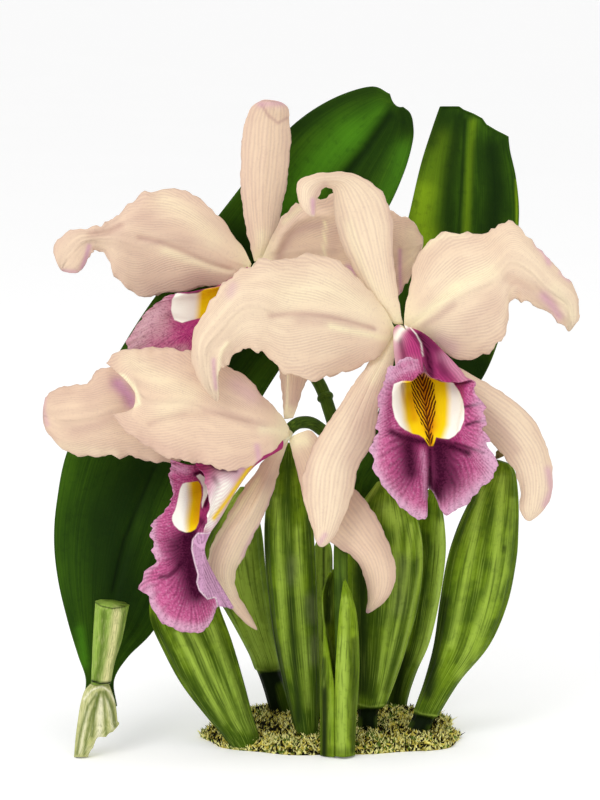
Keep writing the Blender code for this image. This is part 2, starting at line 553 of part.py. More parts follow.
def face_outwards(obj):
    """Turn the faces of a closed mesh outwards."""
    shape = bmesh.new()
    shape.from_mesh(obj.data)
    bmesh.ops.recalc_face_normals(shape, faces=shape.faces)
    if shape.calc_volume(signed=True) < 0:
        bmesh.ops.reverse_faces(shape, faces=shape.faces)
    shape.to_mesh(obj.data)
    shape.free()


def blade_grid(rows, steps, columns, wave):
    """Points of a sepal, petal or leaf: steps along it and columns across it.

    wave is (height, waves along the edge, shift): the margins wave, the midline doesn't.
    """
    full = [row for row in rows if len(row) > 3]
    left = [seen(row[0], row[1], row[4]) for row in full]
    right = [seen(row[2], row[3], row[6]) for row in full]
    middle = []
    for row in full:
        place = row[7:9] if len(row) > 7 else ((row[0] + row[2]) / 2, (row[1] + row[3]) / 2)
        middle.append(seen(place[0], place[1], row[5]))
    last = float(len(full) - 1)
    beyond = (None, None)
    if len(rows) > len(full):
        tip = seen(*rows[-1])
        beyond = (right[-1], left[-1])
        left, middle, right = left + [tip], middle + [tip], right + [tip]
        last += 0.93
    places = np.linspace(0, last, steps)
    left = curve(left, places, beyond[0])
    right = curve(right, places, beyond[1])
    middle = curve(middle, places)
    s = np.linspace(-1, 1, columns)[None, :, None]
    grid = left[:, None] * s * (s - 1) / 2 + middle[:, None] * (1 - s * s) + right[:, None] * s * (s + 1) / 2
    normal = normals_of(grid)
    t = np.linspace(0, 1, steps)[:, None]
    s = s[:, :, 0]
    height, waves, shift = wave
    rise = height * np.abs(s) ** 2.5 * np.sin(math.pi * t) ** 0.6
    rise = rise * np.sin(2 * math.pi * waves * t + shift + 1.3 * np.sign(s))
    grid = grid + normal * rise[:, :, None]
    return grid, normals_of(grid)


def blade(name, rows, steps, columns, thickness, wave, made_of):
    grid, normal = blade_grid(rows, steps, columns, wave)
    return thick_sheet(name, grid, normal, thickness, made_of)


def ribbed_sheet(name, ribs, steps, columns, thickness, wave, made_of):
    """A sheet through ribs that run side by side, such as a lip. wave is as for a blade."""
    lines = np.array([[seen(*point) for point in rib] for rib in ribs])
    along = curve(lines.transpose(1, 0, 2), np.linspace(0, lines.shape[1] - 1, steps))
    grid = curve(along.transpose(1, 0, 2), np.linspace(0, len(ribs) - 1, columns))
    grid = grid.transpose(1, 0, 2)
    normal = normals_of(grid)
    t = np.linspace(0, 1, steps)[:, None]
    u = np.linspace(0, 1, columns)[None, :]
    height, waves, shift = wave
    rise = height * np.clip((t - 0.72) / 0.28, 0, 1) ** 1.5 * np.sin(2 * math.pi * waves * u + shift)
    grid = grid + normal * rise[:, :, None]
    return thick_sheet(name, grid, normals_of(grid), thickness, made_of)


def bulb_rings(sections, steps, sides, ribs, grow=0.0):
    """Rings of points round a pseudobulb, ribbed lengthwise."""
    left = curve([seen(*row[0:2], row[4]) for row in sections], np.linspace(0, len(sections) - 1, steps))
    right = curve([seen(*row[2:4], row[4]) for row in sections], np.linspace(0, len(sections) - 1, steps))
    half = curve(np.array([[row[5]] for row in sections]), np.linspace(0, len(sections) - 1, steps))
    middle = (left + right) / 2
    side = (right - left) / 2
    wide = np.linalg.norm(side, axis=1, keepdims=True)
    side = side * (wide + grow) / wide
    turn = np.linspace(0, 2 * math.pi, sides, endpoint=False)
    rib = 1 - RIB_DEPTH * (1 - np.cos(ribs * turn)) if grow == 0 else np.ones(sides)
    back = np.array([0.0, 1.0, 0.0])
    rings = middle[:, None] + (side[:, None] * np.cos(turn)[None, :, None] * rib[None, :, None])
    rings = rings + back * ((half[:, 0] + grow)[:, None] * (np.sin(turn) * rib)[None, :])[:, :, None]
    return rings


def ringed_solid(name, rings, made_of):
    """A closed solid through rings of points, each end closed by a fan."""
    count, sides = rings.shape[:2]
    points = list(rings.reshape(-1, 3)) + [rings[0].mean(axis=0), rings[-1].mean(axis=0)]
    first, last = count * sides, count * sides + 1
    faces = []
    for j in range(sides):
        k = (j + 1) % sides
        faces.append((first, k, j))
        faces.append((last, (count - 1) * sides + j, (count - 1) * sides + k))
        for i in range(count - 1):
            a, b = i * sides + j, i * sides + k
            faces += [(a, b, b + sides), (a, b + sides, a + sides)]
    obj = mesh_object(name, points, faces, made_of)
    face_outwards(obj)
    return obj


def cut_level(obj, height):
    """Cut the solid off flat at this height and keep what is above."""
    shape = bmesh.new()
    shape.from_mesh(obj.data)
    cut = bmesh.ops.bisect_plane(
        shape,
        geom=shape.verts[:] + shape.edges[:] + shape.faces[:],
        dist=1e-7,
        plane_co=(0, 0, height * MM),
        plane_no=(0, 0, 1),
        clear_inner=True,
    )
    edges = [item for item in cut["geom_cut"] if isinstance(item, bmesh.types.BMEdge)]
    bmesh.ops.holes_fill(shape, edges=edges, sides=0)
    bmesh.ops.triangulate(shape, faces=shape.faces)
    shape.to_mesh(obj.data)
    shape.free()
    face_outwards(obj)


def rod(name, path, radii, sides, steps, made_of):
    """A round rod along a smooth path, its radius changing along it."""
    line = curve([seen(*point) for point in path], np.linspace(0, len(path) - 1, steps))
    radius = np.interp(np.linspace(0, 1, steps), np.linspace(0, 1, len(radii)), radii)
    ahead = np.gradient(line, axis=0)
    ahead = ahead / np.linalg.norm(ahead, axis=1, keepdims=True)
    side = np.cross(ahead[0], [0.3, 1.0, 0.2])
    turn = np.linspace(0, 2 * math.pi, sides, endpoint=False)
    rings = []
    for i in range(steps):
        side = side - ahead[i] * np.dot(side, ahead[i])
        side = side / np.linalg.norm(side)
        other = np.cross(ahead[i], side)
        ring = np.cos(turn)[:, None] * side + np.sin(turn)[:, None] * other
        rings.append(line[i] + radius[i] * ring)
    return ringed_solid(name, np.array(rings), made_of)


def combine(first, others, operation, solver="EXACT"):
    """Join the others to the first, or cut them from it, and remove them."""
    for other in others:
        step = first.modifiers.new(operation.lower(), "BOOLEAN")
        step.operation = operation
        step.solver = solver
        step.object = other
    bpy.context.view_layer.update()
    graph = bpy.context.evaluated_depsgraph_get()
    first.data = bpy.data.meshes.new_from_object(first.evaluated_get(graph))
    first.modifiers.clear()
    first.data.polygons.foreach_set("use_smooth", [True] * len(first.data.polygons))
    for other in others:
        bpy.data.objects.remove(other, do_unlink=True)
    return first


def moss_mat(made_of, cutters):
    """A low uneven mat, boxy in outline and flat below, with a hole for each bulb's foot."""
    circles, spokes = MOSS_CIRCLES, MOSS_SPOKES
    points = [(0.0, (MOSS_FRONT + MOSS_BACK) / 2, MOSS_HEIGHT)]
    middle = (MOSS_FRONT + MOSS_BACK) / 2
    half_depth = (MOSS_BACK - MOSS_FRONT) / 2
    for i in range(1, circles + 1):
        out = i / circles
        for j in range(spokes):
            turn = 2 * math.pi * j / spokes
            boxy = (abs(math.cos(turn)) ** 3.2 + abs(math.sin(turn)) ** 3.2) ** (-1 / 3.2)
            edge = 1 - 0.035 * (1 + math.sin(5 * turn + 0.7)) - 0.02 * (1 + math.sin(11 * turn))
            x = MOSS_HALF_WIDTH * boxy * edge * out * math.cos(turn)
            y = middle + half_depth * boxy * edge * out * math.sin(turn)
            lumps = math.sin(0.21 * x + 1.1) * math.sin(0.24 * y + 0.4) + 0.6 * math.sin(0.47 * x - 0.31 * y)
            fall = 1 - max(0.0, (out - 0.62) / 0.38) ** 2 * 0.62
            points.append((x, y, (MOSS_HEIGHT + 1.1 * lumps) * fall))
    top = 1 + (circles - 1) * spokes
    base = len(points)
    for j in range(spokes):
        x, y, _ = points[top + j]
        points.append((x * 0.985, y * 0.985, 0.0))
    faces = []
    for j in range(spokes):
        k = (j + 1) % spokes
        faces.append((0, 1 + j, 1 + k))
        for i in range(circles - 1):
            a, b = 1 + i * spokes + j, 1 + i * spokes + k
            faces += [(a, a + spokes, b + spokes), (a, b + spokes, b)]
        faces += [(top + j, base + j, base + k), (top + j, base + k, top + k)]
    faces.append(tuple(base + j for j in range(spokes)))
    mat = mesh_object("moss_mat", points, faces, made_of)
    face_outwards(mat)
    return combine(mat, cutters, "DIFFERENCE")


def bulbs_and_holes(made_of, cutter_material):
    """The pseudobulbs, cut off flat at the foot, and a slightly larger cutter for each one's hole."""
    cutters = []
    for name, sections in PSEUDOBULBS.items():
        bulb = ringed_solid(name, bulb_rings(sections, len(sections), BULB_SIDES, BULB_RIBS), made_of)
        cut_level(bulb, BULB_FOOT)
        foot = sections[-4:]
        rings = bulb_rings(foot, len(foot), BULB_SIDES, BULB_RIBS, SEAT_GAP)
        cutter = ringed_solid("hole_" + name, rings, cutter_material)
        cut_level(cutter, BULB_FOOT - SEAT_GAP)
        cutters.append(cutter)
    return cutters


def sheath_hole(cutter_material):
    """A round notch in the front of the mat for the young shoot."""
    x, y = seen(169.5, 378, -51)[:2]
    turn = np.linspace(0, 2 * math.pi, 24, endpoint=False)
    wide, deep = SHEATH_HOLE
    ring = np.stack([x + wide * np.cos(turn), y + deep * np.sin(turn), 0 * turn], axis=1)
    return ringed_solid("hole_sheath", np.array([ring + [0, 0, -3], ring + [0, 0, 40]]), cutter_material)


def flower_stem(made_of):
    """The stem with its two side branches and its node rings, as one solid."""
    stem = rod("flower_stem", STEM, STEM_RADII, 9, 35, made_of)
    to_a = rod("pedicel_a", PEDICEL_A, PEDICEL_A_RADII, 9, 13, made_of)
    to_c = rod("pedicel_c", PEDICEL_C, PEDICEL_C_RADII, 9, 11, made_of)
    cut_level(stem, 0.0)
    rings = []
    for place in NODE_RINGS:
        path = curve(STEM, [place - 0.12, place - 0.04, place + 0.04, place + 0.12])
        rings.append(rod("node_ring", path, NODE_RING_RADII, 9, 4, made_of))
    return combine(stem, [to_a, to_c] + rings, "UNION")


def column(name, path, made_of):
    """The column with the seat of the sepals and petals behind it."""
    return rod(name, path, COLUMN_RADII, 10, 9, made_of)


def fragment(made_of):
    """The top of a cut pseudobulb, spread like a fan and torn off unevenly below."""
    rings = bulb_rings(BULB_FRAGMENT, 10, 18, 9)
    obj = ringed_solid("bulb_fragment", rings, made_of)
    cut_level(obj, 0.0)
    return obj


def leaf_stub(made_of):
    """The dry leaf base left on top of the right bulb."""
    return rod("leaf_stub", LEAF_STUB, STUB_RADII, 8, 4, made_of)


def build():
    for obj in list(bpy.data.objects):
        bpy.data.objects.remove(obj, do_unlink=True)
    cream = material("sepal_cream", (0.86, 0.72, 0.58), 0.55)
    petal = material("petal_cream", (0.88, 0.76, 0.62), 0.55)
    magenta = material("lip_magenta", (0.52, 0.08, 0.30), 0.5)
    white = material("column_white", (0.9, 0.86, 0.72), 0.5)
    leaf_green = material("leaf_green", (0.05, 0.16, 0.02), 0.4)
    bulb_green = material("bulb_green", (0.22, 0.38, 0.06), 0.5)
    stem_green = material("stem_green", (0.08, 0.17, 0.03), 0.5)
    sheath_green = material("sheath_green", (0.36, 0.50, 0.06), 0.5)
    pale_green = material("cut_stalk_green", (0.58, 0.68, 0.22), 0.5)
    straw = material("fragment_straw", (0.66, 0.68, 0.36), 0.6)
    dry = material("dry_leaf_base", (0.14, 0.12, 0.06), 0.7)
    moss = material("moss", (0.66, 0.58, 0.20), 0.95)
    hidden = material("cutter", (0.5, 0.5, 0.5), 0.5)

    moss_mat(moss, bulbs_and_holes(bulb_green, hidden) + [sheath_hole(hidden)])
    sheath = ribbed_sheet("young_shoot_sheath", SHEATH, 9, 19, SHEATH_THICKNESS, (0, 0, 0), sheath_green)
    cut_level(sheath, 0.0)
    flower_stem(stem_green)
    blade("leaf_left", LEAF_1, 27, 7, LEAF_THICKNESS, (0, 0, 0), leaf_green)
    blade("leaf_right", LEAF_2, 17, 7, LEAF_THICKNESS, (0, 0, 0), leaf_green)
    fragment(straw)
    ringed_solid("cut_stalk", bulb_rings(CUT_STALK, 6, 16, 8), pale_green)
    leaf_stub(dry)

    blade("bloom_a_dorsal_sepal", DORSAL_SEPAL_A, 18, 5, PETAL_THICKNESS, (0.3, 2, 0.5), cream)
    blade("bloom_a_left_sepal", LEFT_SEPAL_A, 14, 5, PETAL_THICKNESS, (0.5, 3, 0.2), cream)
    blade("bloom_a_right_sepal", RIGHT_SEPAL_A, 13, 5, PETAL_THICKNESS, (0.5, 3, 1.0), cream)
    blade("bloom_a_left_petal", LEFT_PETAL_A, 21, 7, PETAL_THICKNESS, (1.3, 4.5, 0.0), petal)
    blade("bloom_a_right_petal", RIGHT_PETAL_A, 21, 7, PETAL_THICKNESS, (1.3, 4.5, 2.0), petal)
    ribbed_sheet("bloom_a_lip", LIP_A, 11, 29, LIP_THICKNESS, (0.8, 8, 0.5), magenta)
    column("bloom_a_column", COLUMN_A, white)

    blade("bloom_b_dorsal_sepal", DORSAL_SEPAL_B, 13, 5, PETAL_THICKNESS, (0.4, 2, 0.5), cream)
    blade("bloom_b_left_sepal", LEFT_SEPAL_B, 9, 5, PETAL_THICKNESS, (0.4, 2, 0.0), cream)
    blade("bloom_b_right_sepal", RIGHT_SEPAL_B, 9, 5, PETAL_THICKNESS, (0.4, 2, 0.0), cream)
    blade("bloom_b_left_petal", LEFT_PETAL_B, 20, 7, PETAL_THICKNESS, (1.3, 4.5, 1.0), petal)
    blade("bloom_b_right_petal", RIGHT_PETAL_B, 15, 7, PETAL_THICKNESS, (1.0, 3.0, 0.5), petal)
    ribbed_sheet("bloom_b_lip", LIP_B, 10, 19, LIP_THICKNESS, (0.8, 5, 0.0), magenta)
    column("bloom_b_column", COLUMN_B, white)

    blade("bloom_c_dorsal_sepal", DORSAL_SEPAL_C, 10, 5, PETAL_THICKNESS, (0.4, 2, 0.0), cream)
    blade("bloom_c_left_sepal", LEFT_SEPAL_C, 14, 5, PETAL_THICKNESS, (0.4, 3, 0.0), cream)
    blade("bloom_c_right_sepal", RIGHT_SEPAL_C, 15, 5, PETAL_THICKNESS, (0.4, 3, 1.0), cream)
    blade("bloom_c_near_petal", NEAR_PETAL_C, 18, 7, PETAL_THICKNESS, (1.2, 4.0, 0.0), petal)
    blade("bloom_c_far_petal", FAR_PETAL_C, 16, 7, PETAL_THICKNESS, (1.0, 3.5, 0.6), petal)
    ribbed_sheet("bloom_c_lip", LIP_C, 11, 25, LIP_THICKNESS, (0.6, 6, 0.0), magenta)
    column("bloom_c_column", COLUMN_C, white)


build()
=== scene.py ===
"""The cattleya orchid dressed for its picture: fine sheets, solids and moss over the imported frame.

Sizes are in millimetres and are turned into metres where a mesh is made. +Z is up, the blooms
face -Y, and the origin is on the underside of the moss mat.

Most outlines are places on an upright plate, 300 mm wide and 400 mm high, that the plant is seen
against: across from its left edge, down from its top edge, and then the depth along Y. The camera
stands where the plate fills its frame. Marks, areas and cut lines are places on the same plate,
counted in half millimetres.

The values come first, then the outlines, the marks, the shapes, the paints, the pieces and last
the stage with its lights and camera.
"""

import math

import bpy
import mathutils
import numpy as np
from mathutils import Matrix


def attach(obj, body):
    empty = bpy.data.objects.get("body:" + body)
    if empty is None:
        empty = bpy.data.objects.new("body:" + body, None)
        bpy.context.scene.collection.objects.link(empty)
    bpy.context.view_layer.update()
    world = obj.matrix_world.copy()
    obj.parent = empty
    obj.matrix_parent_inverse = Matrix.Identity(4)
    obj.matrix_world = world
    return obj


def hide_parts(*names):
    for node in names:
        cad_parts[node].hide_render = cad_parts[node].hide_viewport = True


MM = 0.001
MARK_SCALE = 2.0
PLATE_WIDTH = 300.0
PLATE_HEIGHT = 400.0
EYE_DISTANCE = 1600.0
EYE_TILT = math.radians(8.0)
AIM = np.array([-16.0, 0.0, 169.1])
LENS = 144.0
SENSOR = 36.0

# How many rows and columns of points a sheet has, and how many rings and sides a solid.
TEPAL_SIZE = (84, 45)
LEAF_SIZE = (150, 61)
LIP_SIZE = (110, 221)
SHEATH_SIZE = (100, 140)
BULB_SIZE = (90, 96)
FRAGMENT_SIZE = (100, 120)
STALK_SIZE = (60, 96)
STEM_SIZE = (160, 32)
PEDICEL_A_SIZE = (60, 32)
PEDICEL_C_SIZE = (50, 32)
NODE_RING_SIZE = (12, 32)
COLUMN_SIZE = (60, 40)
STUB_SIZE = (20, 32)

# Thicknesses are in the middle of a sheet and at its margin.
TEPAL_THICKNESS = (0.8, 0.3)
LIP_THICKNESS = (0.8, 0.3)
LEAF_THICKNESS = (1.6, 0.7)
SHEATH_THICKNESS = (1.0, 0.5)

STEM_RADII = (3.5, 3.5, 3.5, 3.3, 3.0, 2.8)
PEDICEL_A_RADII = (3.2, 3.0, 2.8)
PEDICEL_C_RADII = (3.2, 3.1, 2.8)
NODE_RING_RADII = (3.4, 4.2, 4.2, 3.4)
COLUMN_RADII = (2.9, 2.9, 2.2, 1.7, 2.2, 2.6, 1.4)
STUB_RADII = (3.6, 2.6, 1.4)

# A blade's point lies just short of one whole row past its last full row.
TIP_SHARE = 0.985
CREASE_WIDTH = 0.09
PETAL_CREASE = 0.3
LEAF_CREASE = -0.6
# Waves are a height, a count and a shift, and frills a height and a count; after a blade's frill
# comes how uneven its outline is.
STILL = ((0.0, 1.0, 0.0), (0.0, 1.0))
PETAL_FRILL = ((0.5, 11.0), 0.95)
SEPAL_FRILL = ((0.2, 7.0), 0.4)
LIP_FRILL = (0.5, 26)
LIP_SCALLOP = 0.8
# From which share of its length on a lip waves, is frilled, follows its reach marks and thins out.
LIP_WAVES_FROM = 0.72
LIP_FRILLS_FROM = 0.8
LIP_REACHES_FROM = 0.7
LIP_THINS_FROM = 0.55

MOSS_HALF_WIDTH = 65.5
MOSS_FRONT = -52.0
MOSS_BACK = 40.0
MOSS_HEIGHT = 6.0
MOSS_ROUNDNESS = 3.2
# The mat's circles and spokes of points, its innermost circle, and where it starts to fall to its
# edge, as shares of its reach.
MOSS_SIZE = (60, 240)
MOSS_INNERMOST = 0.004
MOSS_PLATEAU = 0.62
# The tufts: how many, how high, how far they lean for their height, how wide, how deep they stand,
# and from which share of the mat's reach on they stand at its edge.
TUFTS = 11000
TUFT_HEIGHTS = (1.0, 3.0)
TUFT_LEAN = 0.55
TUFT_RADIUS = 0.85
TUFT_SINK = 0.6
TUFTS_AT_EDGE = 0.95
# Dark patches in the moss: where they lie, X and Y, and how wide they are.
MOSS_SHADES = (
    (-30.0, -20.0, 9.0), (-8.0, -10.0, 9.0), (30.0, -25.0, 9.0), (46.0, -12.0, 7.0),
    (-27.0, 6.0, 9.0), (28.0, 10.0, 8.0), (56.0, 0.0, 7.0), (-56.0, -14.0, 6.0),
)

# How high the bulbs' feet are above the floor, and the ribs and grooves of bulbs.
BULB_FOOT = 1.8
BULB_RIBS = 8
RIB_DEPTH = 0.035
BULB_GROOVE = 0.03
FRAGMENT_GROOVE = 0.05

# Half the floor's width, in metres.
FLOOR_REACH = 60.0
FLOOR_GLOW = 0.12
SKY = 0.85
CLIP_END = 200.0
# Each lamp's name, its place, its size in metres and its power in watts.
LAMPS = (
    ("key", (-900.0, -1500.0, 1300.0), 0.9, 11.0),
    ("top", (300.0, -200.0, 1800.0), 1.4, 4.0),
)

# The kinds of marks that move the surface; the others carry colour.
SHAPING = ("fold", "reach")

RIGHT = np.array([1.0, 0.0, 0.0])
UP = np.array([0.0, math.sin(EYE_TILT), math.cos(EYE_TILT)])
AHEAD = np.array([0.0, math.cos(EYE_TILT), -math.sin(EYE_TILT)])
EYE = AIM - EYE_DISTANCE * AHEAD
BACK = np.array([0.0, 1.0, 0.0])
# A direction that no rod starts along.
ASKEW = (0.3, 1.0, 0.2)

# Each row of a blade is its left edge (across, down), its right edge (across, down) and the depths
# of left edge, midline and right edge. Two more numbers place the midline, else it is halfway.
# The last row of a blade that ends in a tip holds the tip alone: across, down, depth.
DORSAL_SEPAL_A = (
    (197.3, 162, 201.5, 162, -22.3, -22.3, -22.3),
    (185.8, 151.5, 199, 148, -25, -26, -25),
    (178, 137, 196.5, 125, -25, -28, -25),
    (170.5, 122, 195.5, 107, -25, -29, -26),
    (167, 106, 189.5, 95, -27, -31, -28),
    (166, 95, 177, 87, -33, -35, -34),
    (161, 94.5, 161, 86.2, -42, -42, -42),
    (159, 99, 149.5, 91, -46, -48, -47),
    (158, 103.5, 150, 102.5, -47, -49, -48),
    (156.5, 108.5, -47),
)
LEFT_PETAL_A = (
    (197, 167.2, 197, 163.6, -24.2, -24.2, -24.2),
    (189, 177.5, 189.5, 150.5, -29, -31, -28),
    (176, 185.5, 176, 136, -33, -37, -33),
    (159, 189.5, 159, 127.5, -40, -44, -38),
    (144, 187.5, 142, 129.5, -47, -49, -44),
    (133, 177.5, 128.2, 131.5, -50, -54, -48),
    (123, 174.5, 117.3, 136.5, -54, -57, -52),
    (114, 181.5, 106.5, 149.5, -57, -60, -55),
    (110, 184, 96, 167, -58, -61, -56),
    (109.5, 193, 98.5, 187.5, -57, -60, -56),
    (108, 200.5, -56),
)
RIGHT_PETAL_A = (
    (202, 162.8, 203.3, 165, -24.2, -24.2, -24.2),
    (204, 146, 216, 171, -26, -29, -28),
    (209.5, 127, 230, 180, -27, -33, -31),
    (223, 116.5, 243, 177, -29, -36, -34),
    (241, 116.5, 252, 166, -32, -39, -35),
    (255.5, 111, 256, 151.5, -36, -42, -36),
    (269, 122.5, 261.5, 148.5, -38, -43, -35),
    (277, 134, 270, 155, -39, -42, -33),
    (288.5, 144.5, 279, 159.5, -37, -39, -31),
    (289, 157.5, 282, 163.5, -35, -36, -31),
    (285, 165.5, -32),
)
LEFT_SEPAL_A = (
    (196.2, 166.6, 198.6, 168.9, -22.3, -22.3, -22.3),
    (186, 179, 196.5, 181.5, -25, -27, -25),
    (178.5, 190, 192.5, 192, -31, -33, -30),
    (169, 204.5, 189.5, 205, -38, -41, -37),
    (160, 216.5, 187, 219, -44, -48, -43),
    (153, 232.5, 179.5, 233, -49, -53, -49),
    (151.5, 246.5, 177, 246, -52, -56, -52),
    (154.5, 260, 171.5, 259, -54, -57, -54),
    (157.5, 269, 165.5, 270, -55, -57, -55),
    (160.5, 273.5, -56),
)
RIGHT_SEPAL_A = (
    (200.8, 168.9, 203.2, 166.5, -22.3, -22.3, -22.3),
    (207.5, 186, 218, 178.5, -26, -28, -26),
    (223, 202.5, 236, 187, -30, -32, -28),
    (237, 214, 251.5, 196.5, -34, -37, -31),
    (248.5, 224, 265, 208.5, -38, -41, -34),
    (256.5, 234, 273.5, 222, -41, -43, -37),
    (260, 246, 276, 237, -42, -45, -39),
    (260, 255, 274, 251.5, -42, -44, -40),
    (265, 260.5, -41),
)
DORSAL_SEPAL_B = (
    (127, 130.6, 131.2, 130.6, 15.6, 15.6, 15.6),
    (125, 122.5, 137.5, 119, 15, 13, 15),
    (121.5, 104, 141, 103.5, 17, 14, 17),
    (120, 87.5, 143.5, 90, 18, 14, 18),
    (121, 72.5, 145, 75, 17, 13, 17),
    (123, 59, 145, 62.5, 14, 10, 13),
    (128, 51.5, 143.5, 53, 8, 5, 7),
    (135, 50, 3),
)
LEFT_PETAL_B = (
    (124.7, 134.8, 125.7, 131.8, 13.4, 13.4, 13.4),
    (114, 142, 118, 118.5, 11, 9, 13),
    (100, 144, 102.5, 102, 9, 6, 12),
    (82.5, 146.5, 87.5, 94, 7, 3, 10),
    (69, 148.5, 73.5, 97, 5, 0, 7),
    (59, 138.5, 62, 103.5, 3, -3, 4),
    (53, 128.5, 53.5, 111, 0, -3, 0),
    (46.5, 125, 46, 114.5, -3, -4, -3),
    (44, 129, 36, 115, -6, -7, -4),
    (40, 135.5, 27, 123.5, -7, -9, -5),
    (30.5, 135, -6),
)
RIGHT_PETAL_B = (
    (130, 131.3, 131.4, 133.8, 13.4, 13.4, 13.4),
    (138.5, 113, 145, 141, 9, 11, 12),
    (149, 101.5, 160, 149, 6, 10, 11),
    (165, 98, 175, 153, 4, 9, 9),
    (181, 100, 189, 152, 3, 8, 8),
    (195.5, 106.5, 199, 147.5, 3, 7, 6),
    (205.5, 109.5, 205, 138.5, 3, 6, 4),
    (210.5, 116.5, 209.5, 128, 3, 4, 3),
    (211.5, 122.5, 3),
)
LEFT_SEPAL_B = (
    (125.2, 135.1, 127.6, 137.3, 15.6, 15.6, 15.6),
    (111, 147.5, 125, 152.5, 11, 10, 11),
    (98, 166, 114, 171, 6, 4, 6),
    (93, 185, 111, 187.5, 2, 0, 2),
    (95, 202.5, 109, 202.5, -1, -3, -1),
    (103.5, 215, -3),
)
RIGHT_SEPAL_B = (
    (129.8, 137.3, 132.2, 135.1, 15.6, 15.6, 15.6),
    (139, 159, 154, 148, 11, 9, 11),
    (152.5, 172.5, 170, 160, 8, 5, 8),
    (165, 180, 180, 170.5, 6, 4, 6),
    (176, 182, 5),
)
DORSAL_SEPAL_C = (
    (142, 209.5, 146.5, 209, -21, -21, -21),
    (141.5, 199.5, 150, 199, -19, -20, -18),
    (139.5, 186.5, 154, 189, -15, -17, -14),
    (138.5, 172.5, 157, 174, -12, -14, -11),
    (139, 155, 156, 156, -9, -11, -9),
    (147.5, 141, -9),
)
NEAR_PETAL_C = (
    (144.7, 217.6, 144.3, 213.6, -28.4, -28.4, -28.2),
    (135, 226, 136, 202, -43, -38, -33),
    (125, 233, 124, 190, -49, -43, -36),
    (111, 234.5, 110, 180.5, -52, -47, -38),
    (99, 230, 96, 175.5, -53, -48, -39),
    (86, 229, 82.5, 173.5, -54, -49, -40),
    (75, 223.5, 70, 175, -53, -49, -41),
    (64, 216.5, 59, 175.5, -52, -48, -42, 68, 195),
    (56, 207, 53, 181.5, -50, -47, -43, 68.5, 199.5),
)
FAR_PETAL_C = (
    (141.8, 216.6, 140.8, 212.6, -21.8, -21.8, -21.8),
    (131, 225, 131, 204, -21.5, -22.5, -21),
    (112.5, 231, 112.5, 192.5, -22.5, -24, -21),
    (95, 229, 92.5, 186, -25, -27, -21),
    (80, 231.5, 72.5, 183, -27, -31, -23),
    (66, 229, 54, 183, -30, -34, -25),
    (50, 227, 44, 190.5, -32, -36, -27),
    (35, 227, 30, 194, -33, -37, -29),
    (25, 218, 23, 198.5, -33, -36, -31),
    (21.5, 207.5, -33),
)
LEFT_SEPAL_C = (
    (142.3, 218.4, 144.5, 219.4, -22.6, -22.6, -22.6),
    (133, 228.5, 140.5, 231.5, -19, -20, -20),
    (124, 241.5, 136, 247, -24, -27, -25),
    (115.5, 255, 131, 260, -31, -34, -31),
    (107, 270, 123, 275, -36, -39, -35),
    (103.5, 283.5, 118, 286.5, -38, -40, -36),
    (109, 295, 118.5, 296, -37, -38, -36),
    (118, 307, 124, 306, -36, -37, -35),
    (128.5, 315, -34),
)
RIGHT_SEPAL_C = (
    (144.6, 220.2, 146.8, 217.6, -25.5, -25.5, -25.5),
    (146.8, 229, 156, 216, -28, -29, -27),
    (150, 241, 166, 229, -31, -33, -30),
    (153.5, 254, 177, 243.5, -35, -38, -34),
    (160, 266, 185, 254, -38, -42, -37),
    (169, 273.3, 192.5, 267.5, -40, -44, -39),
    (176.5, 278.5, 197, 279, -41, -46, -41),
    (182, 288.5, 197, 291.5, -41, -45, -41),
    (184, 298.5, 192, 301, -40, -43, -40),
    (183.5, 306.5, -38),
)
# The sepals and petals by name: the outline, and its wave's height, count and shift.
TEPALS = {
    "bloom_a_dorsal_sepal": (DORSAL_SEPAL_A, (0.3, 2, 0.5)),
    "bloom_a_left_sepal": (LEFT_SEPAL_A, (0.5, 3, 0.2)),
    "bloom_a_right_sepal": (RIGHT_SEPAL_A, (0.5, 3, 1.0)),
    "bloom_a_left_petal": (LEFT_PETAL_A, (1.3, 4.5, 0.0)),
    "bloom_a_right_petal": (RIGHT_PETAL_A, (1.3, 4.5, 2.0)),
    "bloom_b_dorsal_sepal": (DORSAL_SEPAL_B, (0.4, 2, 0.5)),
    "bloom_b_left_sepal": (LEFT_SEPAL_B, (0.4, 2, 0.0)),
    "bloom_b_right_sepal": (RIGHT_SEPAL_B, (0.4, 2, 0.0)),
    "bloom_b_left_petal": (LEFT_PETAL_B, (1.3, 4.5, 1.0)),
    "bloom_b_right_petal": (RIGHT_PETAL_B, (1.0, 3.0, 0.5)),
    "bloom_c_dorsal_sepal": (DORSAL_SEPAL_C, (0.4, 2, 0.0)),
    "bloom_c_left_sepal": (LEFT_SEPAL_C, (0.4, 3, 0.0)),
    "bloom_c_right_sepal": (RIGHT_SEPAL_C, (0.4, 3, 1.0)),
    "bloom_c_near_petal": (NEAR_PETAL_C, (1.2, 4.0, 0.0)),
    "bloom_c_far_petal": (FAR_PETAL_C, (1.0, 3.5, 0.6)),
}

